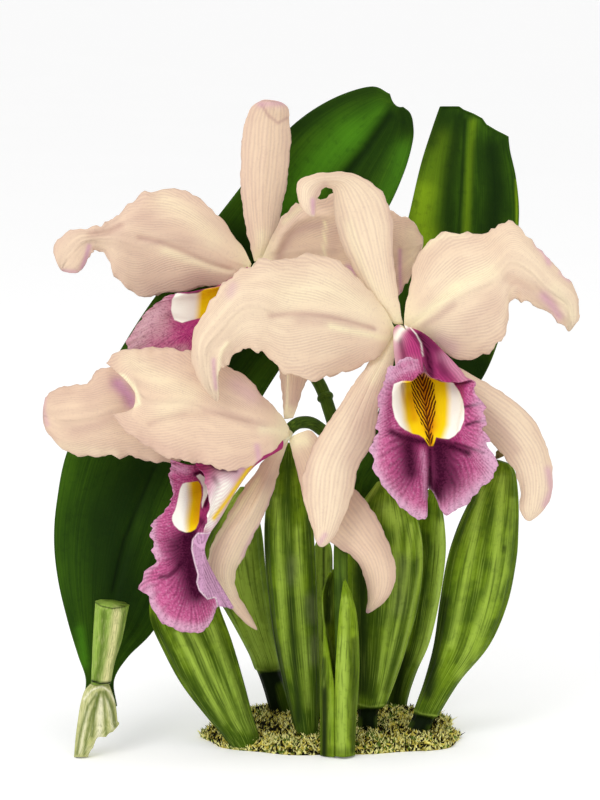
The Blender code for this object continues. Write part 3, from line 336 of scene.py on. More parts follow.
# The two leaves, from the foot to the top.
LEAF_LEFT = (
    (41, 353, 58.5, 353, -45, -44, -45),
    (43, 340, 57, 340, -39, -37, -38),
    (39, 327.5, 64, 328.5, -35, -31, -31, 52, 325),
    (34, 311, 77, 315, -28, -22, -20, 55, 309),
    (29, 290, 90, 291.5, -20, -14, -9, 59.5, 287.5),
    (27, 270, 99.5, 270.5, -13, -7, -1, 64, 270),
    (28.5, 250, 108.5, 250, -6, 0, 4, 69.5, 252.5),
    (33.5, 226, 118.5, 226, 3, 9, 10, 80, 227.5),
    (46, 200, 129, 202, 11, 17, 16, 91, 207.5),
    (60.5, 174.5, 146, 175, 17, 24, 20.9, 107.5, 186),
    (75, 152, 162.5, 150.5, 22, 30, 26, 122.5, 166.5),
    (92.5, 129, 177.5, 128, 26, 34, 29, 139, 144),
    (109.5, 107.5, 193, 105.5, 29, 37, 32, 155, 120),
    (127.5, 84.5, 202, 86, 31, 38, 33, 169, 95),
    (145.5, 63.5, 206.3, 70.5, 32, 38, 34, 182, 75),
    (165, 50, 206.5, 62, 33, 37, 34, 190, 64.5),
    (185, 43.3, 205, 56.5, 34, 36, 34, 195, 56.5),
    (195, 47, 201.5, 53.5, 34, 35, 34, 197.5, 52.3),
)
LEAF_RIGHT = (
    (175.5, 247, 184.5, 250, -13, -13, -13),
    (175, 240, 191, 240.5, -12, -9, -12),
    (177, 231, 203, 231, -8, -3, -6),
    (184, 219, 220, 215, -2, 4, 0, 199, 215),
    (191, 200, 239, 192.5, 4, 10, 6, 211, 192.5),
    (195, 175, 248.5, 172.5, 9, 16, 11, 219, 170),
    (197, 150, 254, 150, 13, 20, 15, 224.5, 145),
    (200, 127.5, 258, 125, 16, 23, 18, 228, 122.5),
    (205, 106, 259.5, 106, 18, 24, 20, 230, 102.5),
    (210.5, 82.5, 258, 89, 19, 24, 21, 230.5, 81),
    (216, 65, 255, 75, 19, 23, 21, 231.5, 65),
    (220.7, 51.5, 254, 64.5, 19, 22, 21, 233, 52),
)

# Ribs of a lip, from the seam on top, round the viewer's left side, the floor and the right side
# back to the seam. Each rib runs from the claw through the tube and the throat to the margin.
LIP_A = (
    ((199.5, 162.5, -29), (204.5, 166.5, -37), (208, 171.5, -45),
     (211, 178.5, -52), (211.5, 186, -57), (209, 180, -62)),
    ((198.5, 163, -29), (201.5, 168.5, -38), (204, 175, -46),
     (206, 182.5, -52), (205.5, 190.5, -57), (201.5, 179.5, -63)),
    ((197.5, 164, -28), (199, 171.5, -37), (200.5, 180, -44),
     (202, 187, -51), (200, 191.5, -57), (194.5, 185, -62)),
    ((197, 165.5, -28), (197.5, 175, -36), (199, 186, -43),
     (200, 194, -50), (196.5, 197, -57), (190, 197.5, -60)),
    ((197, 166.5, -27), (197.5, 177.5, -34), (199.5, 191, -42),
     (201, 202.5, -50), (196, 206, -58), (188.5, 210, -61)),
    ((197.5, 167.5, -27), (198.5, 180, -33), (201.5, 196, -41),
     (204, 210, -52), (198, 215, -62), (186, 220, -64)),
    ((198.5, 168.5, -26), (200.5, 181.5, -32), (204.5, 198, -41),
     (207.5, 214, -54), (199, 231, -70), (187.5, 236, -66)),
    ((199.5, 169, -26), (203, 182, -32), (208.5, 198.5, -42),
     (212, 216, -56), (206.5, 237.5, -74), (200, 253, -66)),
    ((200, 169, -26), (204.5, 182, -32), (211, 198.5, -43),
     (214, 217, -57), (213, 239, -74), (212, 259.5, -62)),
    ((200.5, 169, -26), (205.5, 182, -32), (212.5, 198.5, -43),
     (215.5, 217, -58), (215.5, 232.5, -71), (214, 244.5, -68)),
    ((201.5, 168.5, -26), (207.5, 181, -32), (216.5, 198, -43),
     (218.5, 216.5, -58), (221, 237.5, -75), (224.5, 256.5, -64)),
    ((202.5, 168, -26), (210, 179, -33), (221.5, 196, -43),
     (224.5, 214, -57), (232.5, 227.5, -72), (241.5, 244, -64)),
    ((203, 167, -27), (212, 177, -34), (225, 193, -43),
     (228.5, 209, -55), (231.5, 219, -66), (247.5, 233.5, -64)),
    ((203.5, 166, -27), (213, 175, -36), (227.5, 190, -44),
     (230.5, 201, -52), (232.5, 211, -61), (243.5, 215, -61)),
    ((203.5, 165, -28), (214, 171, -38), (227.5, 184.5, -46),
     (231.5, 192, -53), (233, 199, -59), (241, 202, -60)),
    ((203, 164, -28), (212.5, 167.5, -38), (223, 177.5, -45),
     (230, 185, -51), (233, 189, -56), (237, 192, -60)),
    ((202.5, 163, -29), (208, 166, -37), (217, 174.5, -44),
     (222, 182, -49), (225, 188, -54), (227.5, 190.5, -58)),
    ((202, 162.5, -29), (204, 166.5, -34.5), (207.5, 172.5, -41),
     (211, 180, -46), (213.5, 186, -51), (216, 189, -56)),
)
LIP_B = (
    ((124, 133.6, 8), (117.5, 138.5, -1), (111, 142.8, -6),
     (103.5, 144.5, -9), (96, 146, -10.5), (89, 146.5, -9.5)),
    ((123, 134.3, 8.5), (115.5, 139.5, 0.5), (107.5, 144, -4),
     (99, 146.5, -7.5), (90, 148, -9.5), (82.5, 148.5, -9)),
    ((122.4, 135.5, 9), (114, 142, 2), (104, 148, -1.5),
     (93.5, 150, -6), (84.5, 151, -8.5), (75, 154, -7)),
    ((122.3, 136.8, 9.6), (113.8, 144.5, 3.5), (103, 152.5, -1),
     (91, 155, -6.5), (79.5, 157.5, -9), (69, 161.5, -6)),
    ((122.6, 138, 10), (114.2, 146.5, 4.5), (103, 156, -1.5),
     (91.5, 161.5, -7.5), (77.5, 167, -10), (63.5, 174, -6)),
    ((123.4, 139, 10.3), (115.2, 148, 5), (105, 159, -2.5),
     (95, 167, -9), (85, 175, -12), (75, 183, -8)),
    ((124.5, 139.6, 10.2), (117, 149, 4.5), (108.5, 160.5, -3),
     (101, 171, -9.5), (96, 182, -12), (90, 193.5, -7)),
    ((125.7, 139.5, 9.8), (119.3, 148.8, 3), (113.5, 160, -5),
     (110, 170.5, -11), (106, 181.5, -12.5), (103, 193.5, -7)),
    ((127, 138.8, 9.2), (121.5, 146.5, 1), (119, 155.5, -7.5),
     (119, 162.5, -13), (117, 168, -14.5), (114, 172.5, -10)),
    ((127.9, 137.3, 8.2), (123, 143, -1.5), (125.5, 149, -10),
     (128, 154.5, -14), (128.5, 158, -16), (129, 161.5, -13)),
    ((127.8, 135.3, 7.5), (122.5, 140, -3), (126.5, 144.5, -11),
     (129, 148, -15), (129.5, 150, -16.5), (130, 152, -14)),
    ((126.6, 133.8, 7.5), (120.5, 138.3, -3), (121, 141.5, -11),
     (121, 143.8, -14.5), (121, 145.5, -16), (121, 147.5, -14)),
)
LIP_C = (
    ((138.6, 218.8, -27), (127, 223, -27), (113.5, 228, -29),
     (103, 231, -33), (95, 232.5, -38), (86, 230, -40)),
    ((138, 219.6, -25.6), (126, 225, -26), (112, 232, -28),
     (101.5, 238, -32), (92, 240, -38), (85, 236.5, -41)),
    ((137.8, 220.8, -24.9), (124.5, 228, -25.5), (110.5, 237, -28),
     (100, 246, -32), (90, 246, -40), (86, 248, -43)),
    ((138, 222, -24.8), (124, 231, -26), (110, 242.5, -29),
     (100, 251.5, -36), (88.5, 254, -45), (81.5, 255.5, -47)),
    ((138.5, 223.2, -25.3), (123.5, 232.5, -27), (110, 246, -32),
     (100, 257, -41), (86.5, 265, -52), (75.5, 266, -55)),
    ((139, 224, -26.3), (123, 233.5, -28.5), (110.5, 249, -35),
     (100, 261, -46), (88, 276, -59), (76.5, 275.5, -60)),
    ((139.5, 224.4, -27.2), (123.5, 234.5, -30), (111, 251, -38),
     (100, 264, -49), (88, 284, -65), (71, 293.5, -62)),
    ((140, 224.4, -28), (124, 235, -31.5), (111, 253, -40),
     (99.5, 266.5, -51), (93, 291, -68), (85, 313, -62)),
    ((140.5, 224.3, -28.8), (124.5, 235, -33), (110.5, 255, -41),
     (99.5, 268, -52), (99, 295, -68), (102, 315, -61)),
    ((141, 223.8, -29.6), (125.5, 234.5, -35), (110, 257, -43),
     (101, 270, -53), (101.5, 290, -66), (108.5, 304.5, -60)),
    ((141.3, 223, -30.4), (126, 233.5, -37), (109.5, 259, -44),
     (104, 268, -52), (103, 279, -58), (116, 303, -54)),
    ((141.5, 222, -31), (126, 231.5, -38.5), (110.5, 257.5, -45),
     (106, 262.5, -50), (97, 270, -55), (101, 285.5, -56)),
    ((141.5, 220.8, -31.4), (126, 229, -39), (113, 248, -46),
     (108, 253, -50), (105, 257, -53), (103.5, 262, -55)),
    ((141, 219.6, -31.2), (127, 226, -38), (115, 238, -45),
     (109, 242.5, -48), (106, 245.5, -50), (104.5, 250, -52)),
    ((140.3, 218.8, -30.4), (128, 223.5, -35), (116, 231, -41),
     (109, 235, -44), (104.5, 236.5, -46), (100.5, 236.5, -47)),
    ((139.6, 218.4, -29), (128, 221.5, -31), (115, 227, -35),
     (107, 229, -38), (101.5, 229, -40), (95.5, 228, -41)),
)
# The lips by name: the ribs, and the wave's height, count and shift.
LIPS = {
    "bloom_a_lip": (LIP_A, (0.8, 8, 0.5)),
    "bloom_b_lip": (LIP_B, (0.8, 5, 0.0)),
    "bloom_c_lip": (LIP_C, (0.6, 6, 0.0)),
}

# Ribs of the young shoot's folded sheath, from the free edge of its front flap round the right and
# the back to the other free edge. Each rib runs from the foot to the top.
SHEATH = (
    ((167.7, 378, -57), (167.5, 360, -57), (167.7, 340, -57), (168.5, 325, -57),
     (169.7, 307, -56), (170.8, 297, -55), (171.8, 290.5, -53)),
    ((171.5, 378.5, -59), (171.5, 360, -59), (172, 340, -59), (173, 325, -59),
     (173.5, 307, -58), (173, 297, -56), (172.1, 290.5, -53)),
    ((175.5, 378, -57), (176, 360, -57.5), (177.3, 340, -57.5), (177.6, 325, -57.5),
     (176.7, 307, -56.5), (174.5, 297, -54.5), (172.4, 290.5, -52.5)),
    ((177, 377.5, -52), (177.7, 360, -52.5), (179, 340, -52.5), (179.2, 325, -52.5),
     (178, 308, -52), (175.5, 298, -51.5), (172.8, 291.5, -51)),
    ((174.5, 377, -46), (175, 360, -46), (176.5, 342, -45), (177, 330, -43.5),
     (176.8, 320, -42), (176.4, 315, -41), (176, 311, -41)),
    ((169.5, 377, -43.5), (169.5, 360, -43), (169.5, 342, -41.5), (169.5, 328, -40),
     (169.5, 315, -38), (169.2, 307, -36.5), (169, 300, -36)),
    ((164, 377, -44.5), (164, 360, -44), (164.5, 340, -42.5), (165, 325, -41),
     (165.5, 307, -38.5), (166, 296, -37), (167.2, 285.5, -36)),
    ((160.7, 377.5, -50), (160.7, 360, -50), (161, 340, -48.5), (162, 325, -47),
     (162.3, 307, -45), (162.6, 296, -43), (166, 286, -40)),
    ((161.8, 378, -54), (161.8, 360, -54), (162, 342, -53), (163, 328, -51),
     (161.8, 312, -48.5), (161.6, 297, -46), (165.2, 286, -42)),
    ((167.3, 378.5, -57), (167.2, 360, -57), (167.2, 344, -56), (165.7, 333, -53.5),
     (162.6, 315, -50.5), (161.3, 298, -47.5), (164.5, 286.5, -43.5)),
)

# Each section of a pseudobulb is its left and right side (across, down), its depth and half its
# thickness front to back.
PSEUDOBULBS = {
    "pseudobulb_left": (
        (81, 277, 88, 276, -22, 2.0),
        (76, 286, 98, 281, -23, 5.5),
        (74.5, 299, 107, 295, -25, 7.5),
        (75, 311, 111, 306, -27, 8.5),
        (81, 325, 116.5, 321, -29, 9.0),
        (90, 341.5, 122, 340, -32, 8.5),
        (101.5, 356.5, 126.5, 357.5, -35, 7.5),
        (110, 366.5, 129.5, 367.5, -37, 6.5),
        (118, 378, 131, 378, -38, 5.5),
    ),
    "pseudobulb_left_rear": (
        (120, 243.5, 123, 243.5, 8, 1.5),
        (116.5, 248, 126, 247, 9, 3.5),
        (109, 257.5, 129, 256, 11, 5.5),
        (102, 272.5, 131.5, 267.5, 12, 7.5),
        (103, 286, 133, 282.5, 14, 8.0),
        (108.5, 298.5, 135, 300, 15, 7.5),
        (116.5, 312.5, 137.5, 317.5, 17, 6.5),
        (124, 326.5, 140, 328.5, 18, 6.0),
        (127, 334, 140.7, 334, 18, 6.0),
        (128.6, 336, 140.5, 336, 18, 5.0),
        (132, 345.5, 144, 345.5, 18, 5.0),
        (136, 360, 148, 360, 18, 5.0),
    ),
    "pseudobulb_middle": (
        (142.5, 221.5, 146, 221.5, -6, 1.5),
        (139, 227.5, 149.5, 227.5, -7, 4.0),
        (135.5, 240, 153, 240, -9, 6.0),
        (132.5, 256, 156, 256, -12, 7.5),
        (132, 272.5, 157.5, 272.5, -15, 8.0),
        (133.5, 292.5, 158.5, 295, -18, 8.0),
        (136.5, 317.5, 159.5, 320, -23, 7.5),
        (141, 340, 160, 342.5, -28, 6.5),
        (146, 360, 159.5, 360, -32, 5.5),
        (148.5, 368.5, 158.5, 368.5, -34, 5.0),
        (151, 382, 158, 382, -36, 4.5),
    ),
    "pseudobulb_pale": (
        (159.5, 268.5, 163, 268.5, 4, 1.5),
        (157, 274.5, 166, 274.5, 4, 3.5),
        (156, 290, 166.5, 290, 4, 4.5),
        (156.5, 315, 167, 315, 5, 4.5),
        (157.5, 340, 166.5, 340, 6, 4.0),
        (158.5, 362.5, 165.5, 362.5, 7, 3.5),
        (159, 372, 165, 372, 7, 3.0),
    ),
    "pseudobulb_front_right": (
        (188.5, 241, 197, 240, -16, 2.5),
        (180.5, 252, 203, 246.5, -16, 5.5),
        (173.5, 268.5, 209, 259, -16, 8.0),
        (172.5, 283.5, 212, 277, -16, 9.0),
        (172.8, 300, 210, 300, -17, 9.0),
        (174.5, 320, 204.5, 321, -18, 8.5),
        (176.5, 337.5, 198.5, 339, -20, 7.5),
        (177.5, 349.5, 193.5, 351.5, -22, 6.5),
        (178, 352.5, 191.8, 353.5, -22, 6.3),
        (179, 355, 189.5, 355, -22, 4.8),
        (178.8, 361, 188.7, 361, -22, 4.5),
        (178, 375, 189, 375, -23, 4.5),
    ),
    "pseudobulb_right_rear": (
        (215, 244, 220, 243.5, 23, 2.0),
        (209, 250, 220.5, 250, 23, 4.5),
        (205, 260, 222.5, 262.5, 24, 6.5),
        (202.5, 280, 223, 277.5, 25, 7.5),
        (200, 300, 220, 300, 26, 7.5),
        (198, 320, 215, 321, 28, 6.5),
        (195, 337.5, 208.5, 336, 30, 5.5),
        (193, 350, 204, 350, 31, 4.5),
        (192, 361, 203, 361, 31, 4.0),
    ),
    "pseudobulb_right": (
        (246.5, 229.5, 255, 232, -20, 3.5),
        (241, 239, 258, 237, -20, 6.0),
        (233, 253.5, 259.5, 250, -20, 7.5),
        (227.5, 266, 259.5, 265, -20, 8.5),
        (223, 281, 258.5, 280, -20, 9.0),
        (219.5, 301.5, 254, 302, -20, 9.0),
        (216.5, 322.5, 245, 322.5, -21, 8.5),
        (212, 340, 230.5, 340, -22, 7.0),
        (207.5, 353, 221, 355, -23, 6.0),
        (206.8, 356, 220, 357.5, -23, 5.8),
        (206, 359, 217.5, 359, -23, 4.6),
        (202.5, 366, 214, 366.5, -24, 4.5),
        (197, 378, 207, 378.5, -25, 4.5),
    ),
}

# The torn off top of a bulb and the cut flower stalk, in sections of the same kind.
BULB_FRAGMENT = (
    (45, 342, 54.5, 342, -46, 3.0),
    (42, 345.5, 56, 345.5, -47.5, 3.6),
    (40, 352, 58, 352, -49, 4.2),
    (38.5, 361, 59, 360, -50.5, 4.5),
    (37.5, 369, 58.7, 363.5, -52, 4.5),
    (37, 378.5, 44, 378.5, -54.5, 4.0),
)
CUT_STALK = (
    (45.4, 341.6, 55.4, 341.6, -46, 4.5),
    (46, 330, 57.5, 331, -45, 5.2),
    (46.5, 318, 61, 320, -43, 6.2),
    (47.3, 306, 63.5, 308, -41, 7.2),
    (47.6, 300.5, 64.7, 302.5, -40, 7.8),
)

# The flower stem and its branches: across, down and depth along the middle.
STEM = (
    (170.5, 379, -51),
    (170.7, 350, -50.5),
    (171, 325, -48.5),
    (170.7, 300, -44.5),
    (170.3, 285, -40.5),
    (170.5, 272, -34.5),
    (171.3, 258, -27.5),
    (172.5, 245, -20),
    (171.5, 232, -11.5),
    (169, 220, -4.5),
    (165, 206, 3),
    (160, 192.5, 9.5),
    (150.5, 178, 15.5),
    (141.5, 162.5, 20),
    (134, 147.5, 22.5),
    (130.8, 139, 22.3),
    (129.9, 134.5, 20.9),
    (129.3, 133.9, 17.9),
)
PEDICEL_A = (
    (169.5, 222, -5),
    (177, 208, -5),
    (185, 192.5, -7),
    (192.5, 177, -11.5),
    (196.8, 168.5, -15.5),
    (198.6, 166.2, -17.5),
    (199.3, 165.5, -20),
)
PEDICEL_C = (
    (169.5, 222, -5),
    (161, 215, -8),
    (155.5, 211.5, -12),
    (150, 211.3, -17),
    (146.5, 213, -21),
    (144.5, 215, -23.5),
)

# Where the stem's node rings sit, counted along its points, and where their sections are.
NODE_RINGS = (10.55, 7.5)
NODE_RING_STEPS = (-0.12, -0.04, 0.04, 0.12)

# The dry leaf base's middle line.
LEAF_STUB = ((250.7, 228, -20), (250, 226.6, -20), (249, 225.2, -20))

# The columns stand inside the lips; at a column's first point sit the sepals and petals.
COLUMN_A = (
    (199.4, 165.4, -20.5), (200, 165.3, -24), (201, 166.5, -29), (204, 170.5, -36), (207.5, 177, -44),
)
COLUMN_B = (
    (129.2, 133.9, 17.4), (128.4, 134, 14), (125.1, 136.7, 8.9), (118.2, 143.4, 1.6), (112, 149, -4),
)
COLUMN_C = (
    (143.9, 215.6, -24.3), (142.4, 218.4, -26), (139.7, 221.5, -27.9), (131, 226.3, -30.4),
    (121, 232, -34),
)

# How far down the torn end of the bulb's fragment reaches.
TORN_END = (
    (74, 757), (88, 757), (90, 751), (93, 748), (96, 739), (98, 737), (106, 737), (109, 733),
    (118, 731),
)

# The ragged line that the right leaf's top is cut along.
LEAF_CUT = (
    (430, 108), (440, 107), (459, 107), (463, 110), (474, 114.5), (482, 119), (486, 125), (496, 131),
    (512, 139),
)

# Marks are brush strokes on the plate, in half millimetres: what they carry, how strongly, how wide,
# and the points (across, down) that they run through. "fold" lifts the surface towards the eye and
# "reach" pushes a lip's margin outward, by that many millimetres; the others carry colour.
MARKS = {
    # On the sepals and petals, the grey-pink strokes are painted shade along creases, under ridges and
    # inside curls; the pale yellow strokes are painted highlights on ridges and curled edges, besides
    # paler midribs and bases; some rosy strokes are painted purple shade in folds.
    "bloom_a_dorsal_sepal": (
        ("deep", 0.5, 4, (325, 185), (317, 192), (314, 205)),
        ("rosy", 0.6, 2.5, (312.5, 200), (313, 213)),
        ("glow", 0.4, 6, (350, 225), (362, 268), (384, 302)),
        ("deep", 0.3, 4, (388, 200), (392, 235), (394, 270)),
    ),
    "bloom_a_left_petal": (
        ("deep", 0.75, 2.6, (271, 316), (289, 313.5), (309, 314), (329, 316.5), (351, 322), (374, 329)),
        ("deep", 0.4, 6, (300, 320), (325, 322), (350, 328)),
        ("glow", 0.9, 3.5, (330, 326), (350, 331), (370, 335), (392, 340)),
        ("glow", 0.4, 16, (290, 295), (330, 290), (365, 310)),
        ("rosy", 0.55, 2.4, (213.5, 360), (214, 374), (216, 388)),
        ("rosy", 0.35, 5, (233, 286), (230, 294)),
        ("glow", 0.9, 1.8, (227, 343), (221.5, 350), (218.8, 362), (218.5, 378), (219.5, 392), (221, 400)),
        ("fold", 1.2, 2.6, (227, 343), (221.5, 350), (218.8, 362), (218.5, 378), (219.5, 392)),
        ("fold", -1.0, 3.0, (271, 316), (289, 313.5), (309, 314), (329, 316.5), (351, 322), (374, 329)),
    ),
    "bloom_a_right_petal": (
        ("glow", 0.9, 6, (413, 323), (430, 311), (443, 299), (457, 288)),
        ("glow", 0.6, 9, (457, 288), (472, 279), (490, 272)),
        ("deep", 0.5, 4, (424, 324), (440, 315), (453, 304)),
        ("deep", 0.3, 14, (470, 325), (492, 305)),
        ("glow", 0.5, 3, (424, 247), (436, 238), (446, 235), (465, 235)),
        ("rosy", 0.6, 3, (537, 245), (545, 253), (549, 263)),
        ("rosy", 0.6, 3, (562, 273), (569, 279)),
        ("rosy", 0.6, 5, (544, 296), (552, 305), (559, 316)),
        ("deep", 0.4, 8, (510, 279), (535, 290), (550, 302)),
        ("glow", 0.4, 6, (555, 288), (566, 303), (572, 316)),
        ("rosy", 0.3, 8, (440, 341), (452, 348)),
        ("fold", -1.6, 4, (508, 278), (527, 286), (544, 296), (556, 308), (564, 321)),
        ("fold", -0.8, 3, (413, 323), (430, 311), (443, 299), (457, 288), (475, 278)),
    ),
    "bloom_a_left_sepal": (
        ("glow", 0.8, 6, (392, 343), (382, 362), (374, 380)),
        ("deep", 0.35, 5, (322, 420), (308, 460), (304, 495)),
        ("rosy", 0.5, 3, (320, 543), (325, 535)),
        ("deep", 0.25, 10, (360, 410), (350, 460)),
    ),
    "bloom_a_right_sepal": (
        ("glow", 0.6, 6, (408, 342), (425, 360)),
        ("deep", 0.4, 6, (470, 400), (500, 425), (516, 450)),
        ("rosy", 0.5, 4, (548, 470), (552, 490), (545, 505)),
    ),
    "bloom_b_dorsal_sepal": (
        ("rosy", 0.5, 4, (260, 104), (284, 103)),
        ("deep", 0.8, 1.5, (262, 105), (268, 115), (278, 123), (287, 118)),
        ("glow", 0.6, 6, (262, 235), (261, 262)),
        ("fold", 0.9, 4, (270, 106), (279, 112)),
    ),
    "bloom_b_left_petal": (
        ("deep", 0.7, 3, (140, 238), (160, 242), (184, 252), (210, 264), (230, 270)),
        ("glow", 0.6, 5, (165, 251), (190, 260), (215, 269), (236, 272)),
        ("deep", 0.35, 12, (140, 215), (160, 228), (185, 240)),
        ("deep", 0.3, 12, (118, 232), (146, 262), (150, 285)),
        ("rosy", 0.7, 2.5, (89, 246), (86, 258), (82, 268)),
        ("rosy", 0.5, 2.5, (62, 271), (76, 272)),
        ("glow", 0.4, 10, (165, 200), (190, 215), (215, 240)),
        ("deep", 0.5, 4, (92, 234), (108, 232), (120, 226)),
        ("fold", -1.0, 3, (140, 238), (160, 242), (184, 252), (210, 264), (230, 270)),
        ("fold", -1.2, 3, (90, 234), (108, 233), (122, 226)),
    ),
    "bloom_b_right_petal": (
        ("deep", 0.7, 5, (279, 258), (283, 246), (292, 234), (305, 227), (320, 225)),
        ("glow", 0.6, 3, (284, 222), (298, 210), (312, 204)),
        ("glow", 0.9, 1.8, (325, 222), (324.5, 240), (324, 258)),
        ("deep", 0.4, 8, (334, 230), (333, 252)),
        ("rosy", 0.8, 4, (349, 268), (357, 272)),
        ("rosy", 0.7, 2, (400, 250), (400, 275), (401, 294)),
        ("deep", 0.35, 6, (394, 235), (394, 285)),
        ("glow", 0.3, 6, (412, 230), (412, 265)),
        ("fold", 1.4, 4, (276, 250), (283, 234), (296, 221), (312, 214), (328, 216)),
        ("fold", -1.0, 3, (400, 250), (400, 275), (401, 294)),
    ),
    "bloom_c_dorsal_sepal": (
        ("glow", 0.8, 1.5, (288, 376), (287, 398), (286, 416)),
        ("deep", 0.5, 4, (298, 380), (295, 400), (291, 412)),
        ("glow", 0.6, 5, (289, 410), (286, 420)),
        ("fold", 0.6, 3, (288, 376), (287, 398), (286, 416)),
    ),
    "bloom_c_near_petal": (
        ("glow", 0.95, 2.2, (110, 374), (124, 376), (133, 385), (138.5, 397), (139, 404), (130, 407),
         (117, 407)),
        ("glow", 0.4, 12, (130, 360), (160, 380), (190, 395), (165, 410)),
        ("deep", 0.5, 3, (150, 424), (168, 417), (185, 414)),
        ("deep", 0.45, 4, (205, 411), (222, 413), (245, 420), (264, 426)),
        ("glow", 0.6, 5, (262, 430), (284, 431)),
        ("rosy", 0.6, 3, (257, 446), (259, 460)),
        ("rosy", 0.3, 9, (236, 384), (252, 396)),
        ("deep", 0.3, 6, (140, 440), (170, 452), (200, 456)),
        ("fold", -1.0, 4, (150, 424), (168, 417), (190, 412), (222, 413), (250, 421)),
    ),
    "bloom_c_far_petal": (
        ("rosy", 0.9, 7, (118, 384), (128, 395), (131, 402)),
        ("deep", 0.7, 6, (114, 380), (125, 390), (133, 402)),
        ("deep", 0.4, 6, (75, 431), (95, 426), (112, 416)),
        ("deep", 0.35, 9, (90, 402), (106, 390)),
        ("glow", 0.3, 6, (60, 446), (90, 450), (115, 454)),
        ("rosy", 0.4, 3, (44, 395), (43, 410), (47, 424)),
        ("fold", -2.0, 6, (118, 384), (128, 395), (131, 402)),
    ),
    "bloom_c_left_sepal": (
        ("glow", 0.35, 12, (262, 500), (236, 560), (222, 610)),
        ("deep", 0.5, 6, (269, 478), (259, 510), (247, 526), (240, 545)),
        ("glow", 0.6, 2.5, (207, 565), (211, 548), (221, 532), (240, 506), (258, 480)),
        ("rosy", 0.45, 3, (276, 488), (264, 520), (252, 537), (243, 556)),
        ("fold", 1.0, 4, (268, 470), (260, 498), (248, 518), (230, 532)),
    ),
    "bloom_c_right_sepal": (
        ("glow", 0.7, 6, (290, 441), (305, 441)),
        ("deep", 0.45, 5, (321, 452), (316, 480), (312, 500)),
        ("rosy", 0.6, 3, (362, 611), (368, 612)),
        ("deep", 0.3, 6, (345, 545), (362, 570), (370, 590)),
    ),
    # On the leaves, the light strokes are partly painted light on their lit bands, and the wide dark
    # strokes are painted shade over their lower parts behind the bulbs and blooms.
    "leaf_left": (
        ("light", 0.8, 20, (282, 215), (312, 172), (350, 136)),
        ("light", 0.45, 12, (352, 136), (378, 112)),
        ("dark", 0.95, 6, (336, 186), (366, 150), (390, 116)),
        ("dark", 0.5, 14, (352, 182), (378, 150), (398, 124)),
        ("light", 0.55, 14, (384, 205), (398, 178), (403, 152)),
        ("dark", 0.7, 9, (292, 128), (330, 102), (372, 88)),
        ("dark", 0.6, 10, (402, 112), (408, 128)),
        ("dark", 0.9, 40, (240, 250), (235, 330), (180, 400), (110, 520), (120, 600)),
        ("light", 0.6, 5, (80, 630), (85, 664)),
        ("ink", 0.8, 1.6, (154, 466), (140, 500), (124, 540), (112, 590)),
        ("dark", 0.8, 6, (96, 690), (112, 690)),
    ),
    "leaf_right": (
        ("light", 0.95, 14, (428, 250), (420, 222), (425, 192)),
        ("light", 0.35, 14, (434, 170), (440, 140)),
        ("dark", 0.75, 9, (448, 250), (450, 190), (454, 150), (457, 118)),
        ("light", 0.45, 4, (466, 240), (468, 190), (470, 150), (473, 122)),
        ("dark", 0.8, 1.6, (458, 245), (462, 180), (465, 120)),
        ("dark", 0.95, 15, (492, 230), (496, 190), (492, 150)),
        ("dark", 0.7, 10, (444, 110), (430, 140)),
        ("light", 0.9, 1.4, (516.3, 180), (517.2, 228)),
        ("dark", 0.9, 30, (440, 330), (480, 370), (400, 440)),
        ("light", 0.9, 2.0, (484, 384), (499, 345)),
    ),
    # On the bulbs, the light strokes are mostly painted highlights on their lit stripes, and the dark and
    # near-black strokes painted shade down their shaded sides and at their feet.
    "pseudobulb_left": (
        ("light", 0.8, 3.5, (178, 633), (223, 722)),
        ("light", 0.8, 4, (190, 630), (239, 728)),
        ("light", 0.7, 5, (212, 628), (251, 728)),
        ("dark", 0.8, 5, (152, 618), (176, 664), (234, 748)),
        ("dark", 0.5, 2.5, (184, 632), (232, 726)),
        ("dark", 0.4, 2.5, (202, 632), (246, 730)),
        ("dark", 0.5, 5, (224, 640), (258, 744)),
    ),
    "pseudobulb_left_rear": (
        ("light", 1.0, 16, (238, 500), (240, 560), (262, 650)),
        ("light", 0.8, 8, (262, 654), (276, 660)),
        ("dark", 0.7, 4, (268, 560), (276, 600), (282, 650)),
        ("dark", 0.4, 3, (246, 560), (262, 620)),
        ("light", 0.9, 1.2, (256, 669), (270, 672), (282, 667)),
        ("ink", 1.0, 9, (268, 682), (276, 720)),
        ("ink", 1.0, 7, (264, 678), (284, 676)),
    ),
    "pseudobulb_middle": (
        ("ink", 0.5, 4, (264, 520), (267, 600), (292, 725)),
        ("ink", 0.4, 3, (290, 600), (299, 720)),
        ("light", 0.55, 4, (276, 500), (280, 570), (286, 665)),
        ("light", 0.6, 4, (297, 530), (300, 620), (308, 705)),
        ("dark", 0.8, 5, (287, 455), (288, 540), (293, 640), (300, 730)),
        ("dark", 0.7, 5, (308, 520), (314, 620), (316, 740)),
        ("dark", 0.6, 3, (268, 520), (272, 620), (296, 730)),
        ("ash", 0.5, 7, (311, 600), (312, 618)),
        ("ash", 0.5, 6, (315, 640), (313, 660)),
        ("ash", 0.35, 6, (294, 560), (292, 580)),
        ("dark", 0.5, 8, (302, 715), (308, 750)),
    ),
    "pseudobulb_pale": (
        ("light", 1.0, 12, (322, 545), (324, 700)),
        ("ink", 0.6, 1.2, (324, 545), (323, 640)),
        ("dark", 0.6, 4, (333, 560), (332, 700)),
    ),
    "pseudobulb_front_right": (
        ("light", 1.0, 3.0, (379, 480), (372, 492), (364, 503)),
        ("light", 0.7, 9, (388, 510), (396, 520)),
        ("light", 0.8, 2.6, (421, 525), (420, 570), (408, 630), (389, 700)),
        ("light", 0.7, 3, (411, 525), (406, 590), (392, 650), (380, 700)),
        ("light", 0.5, 3, (398, 530), (392, 600), (378, 680)),
        ("dark", 0.7, 4, (416, 560), (402, 630), (386, 690)),
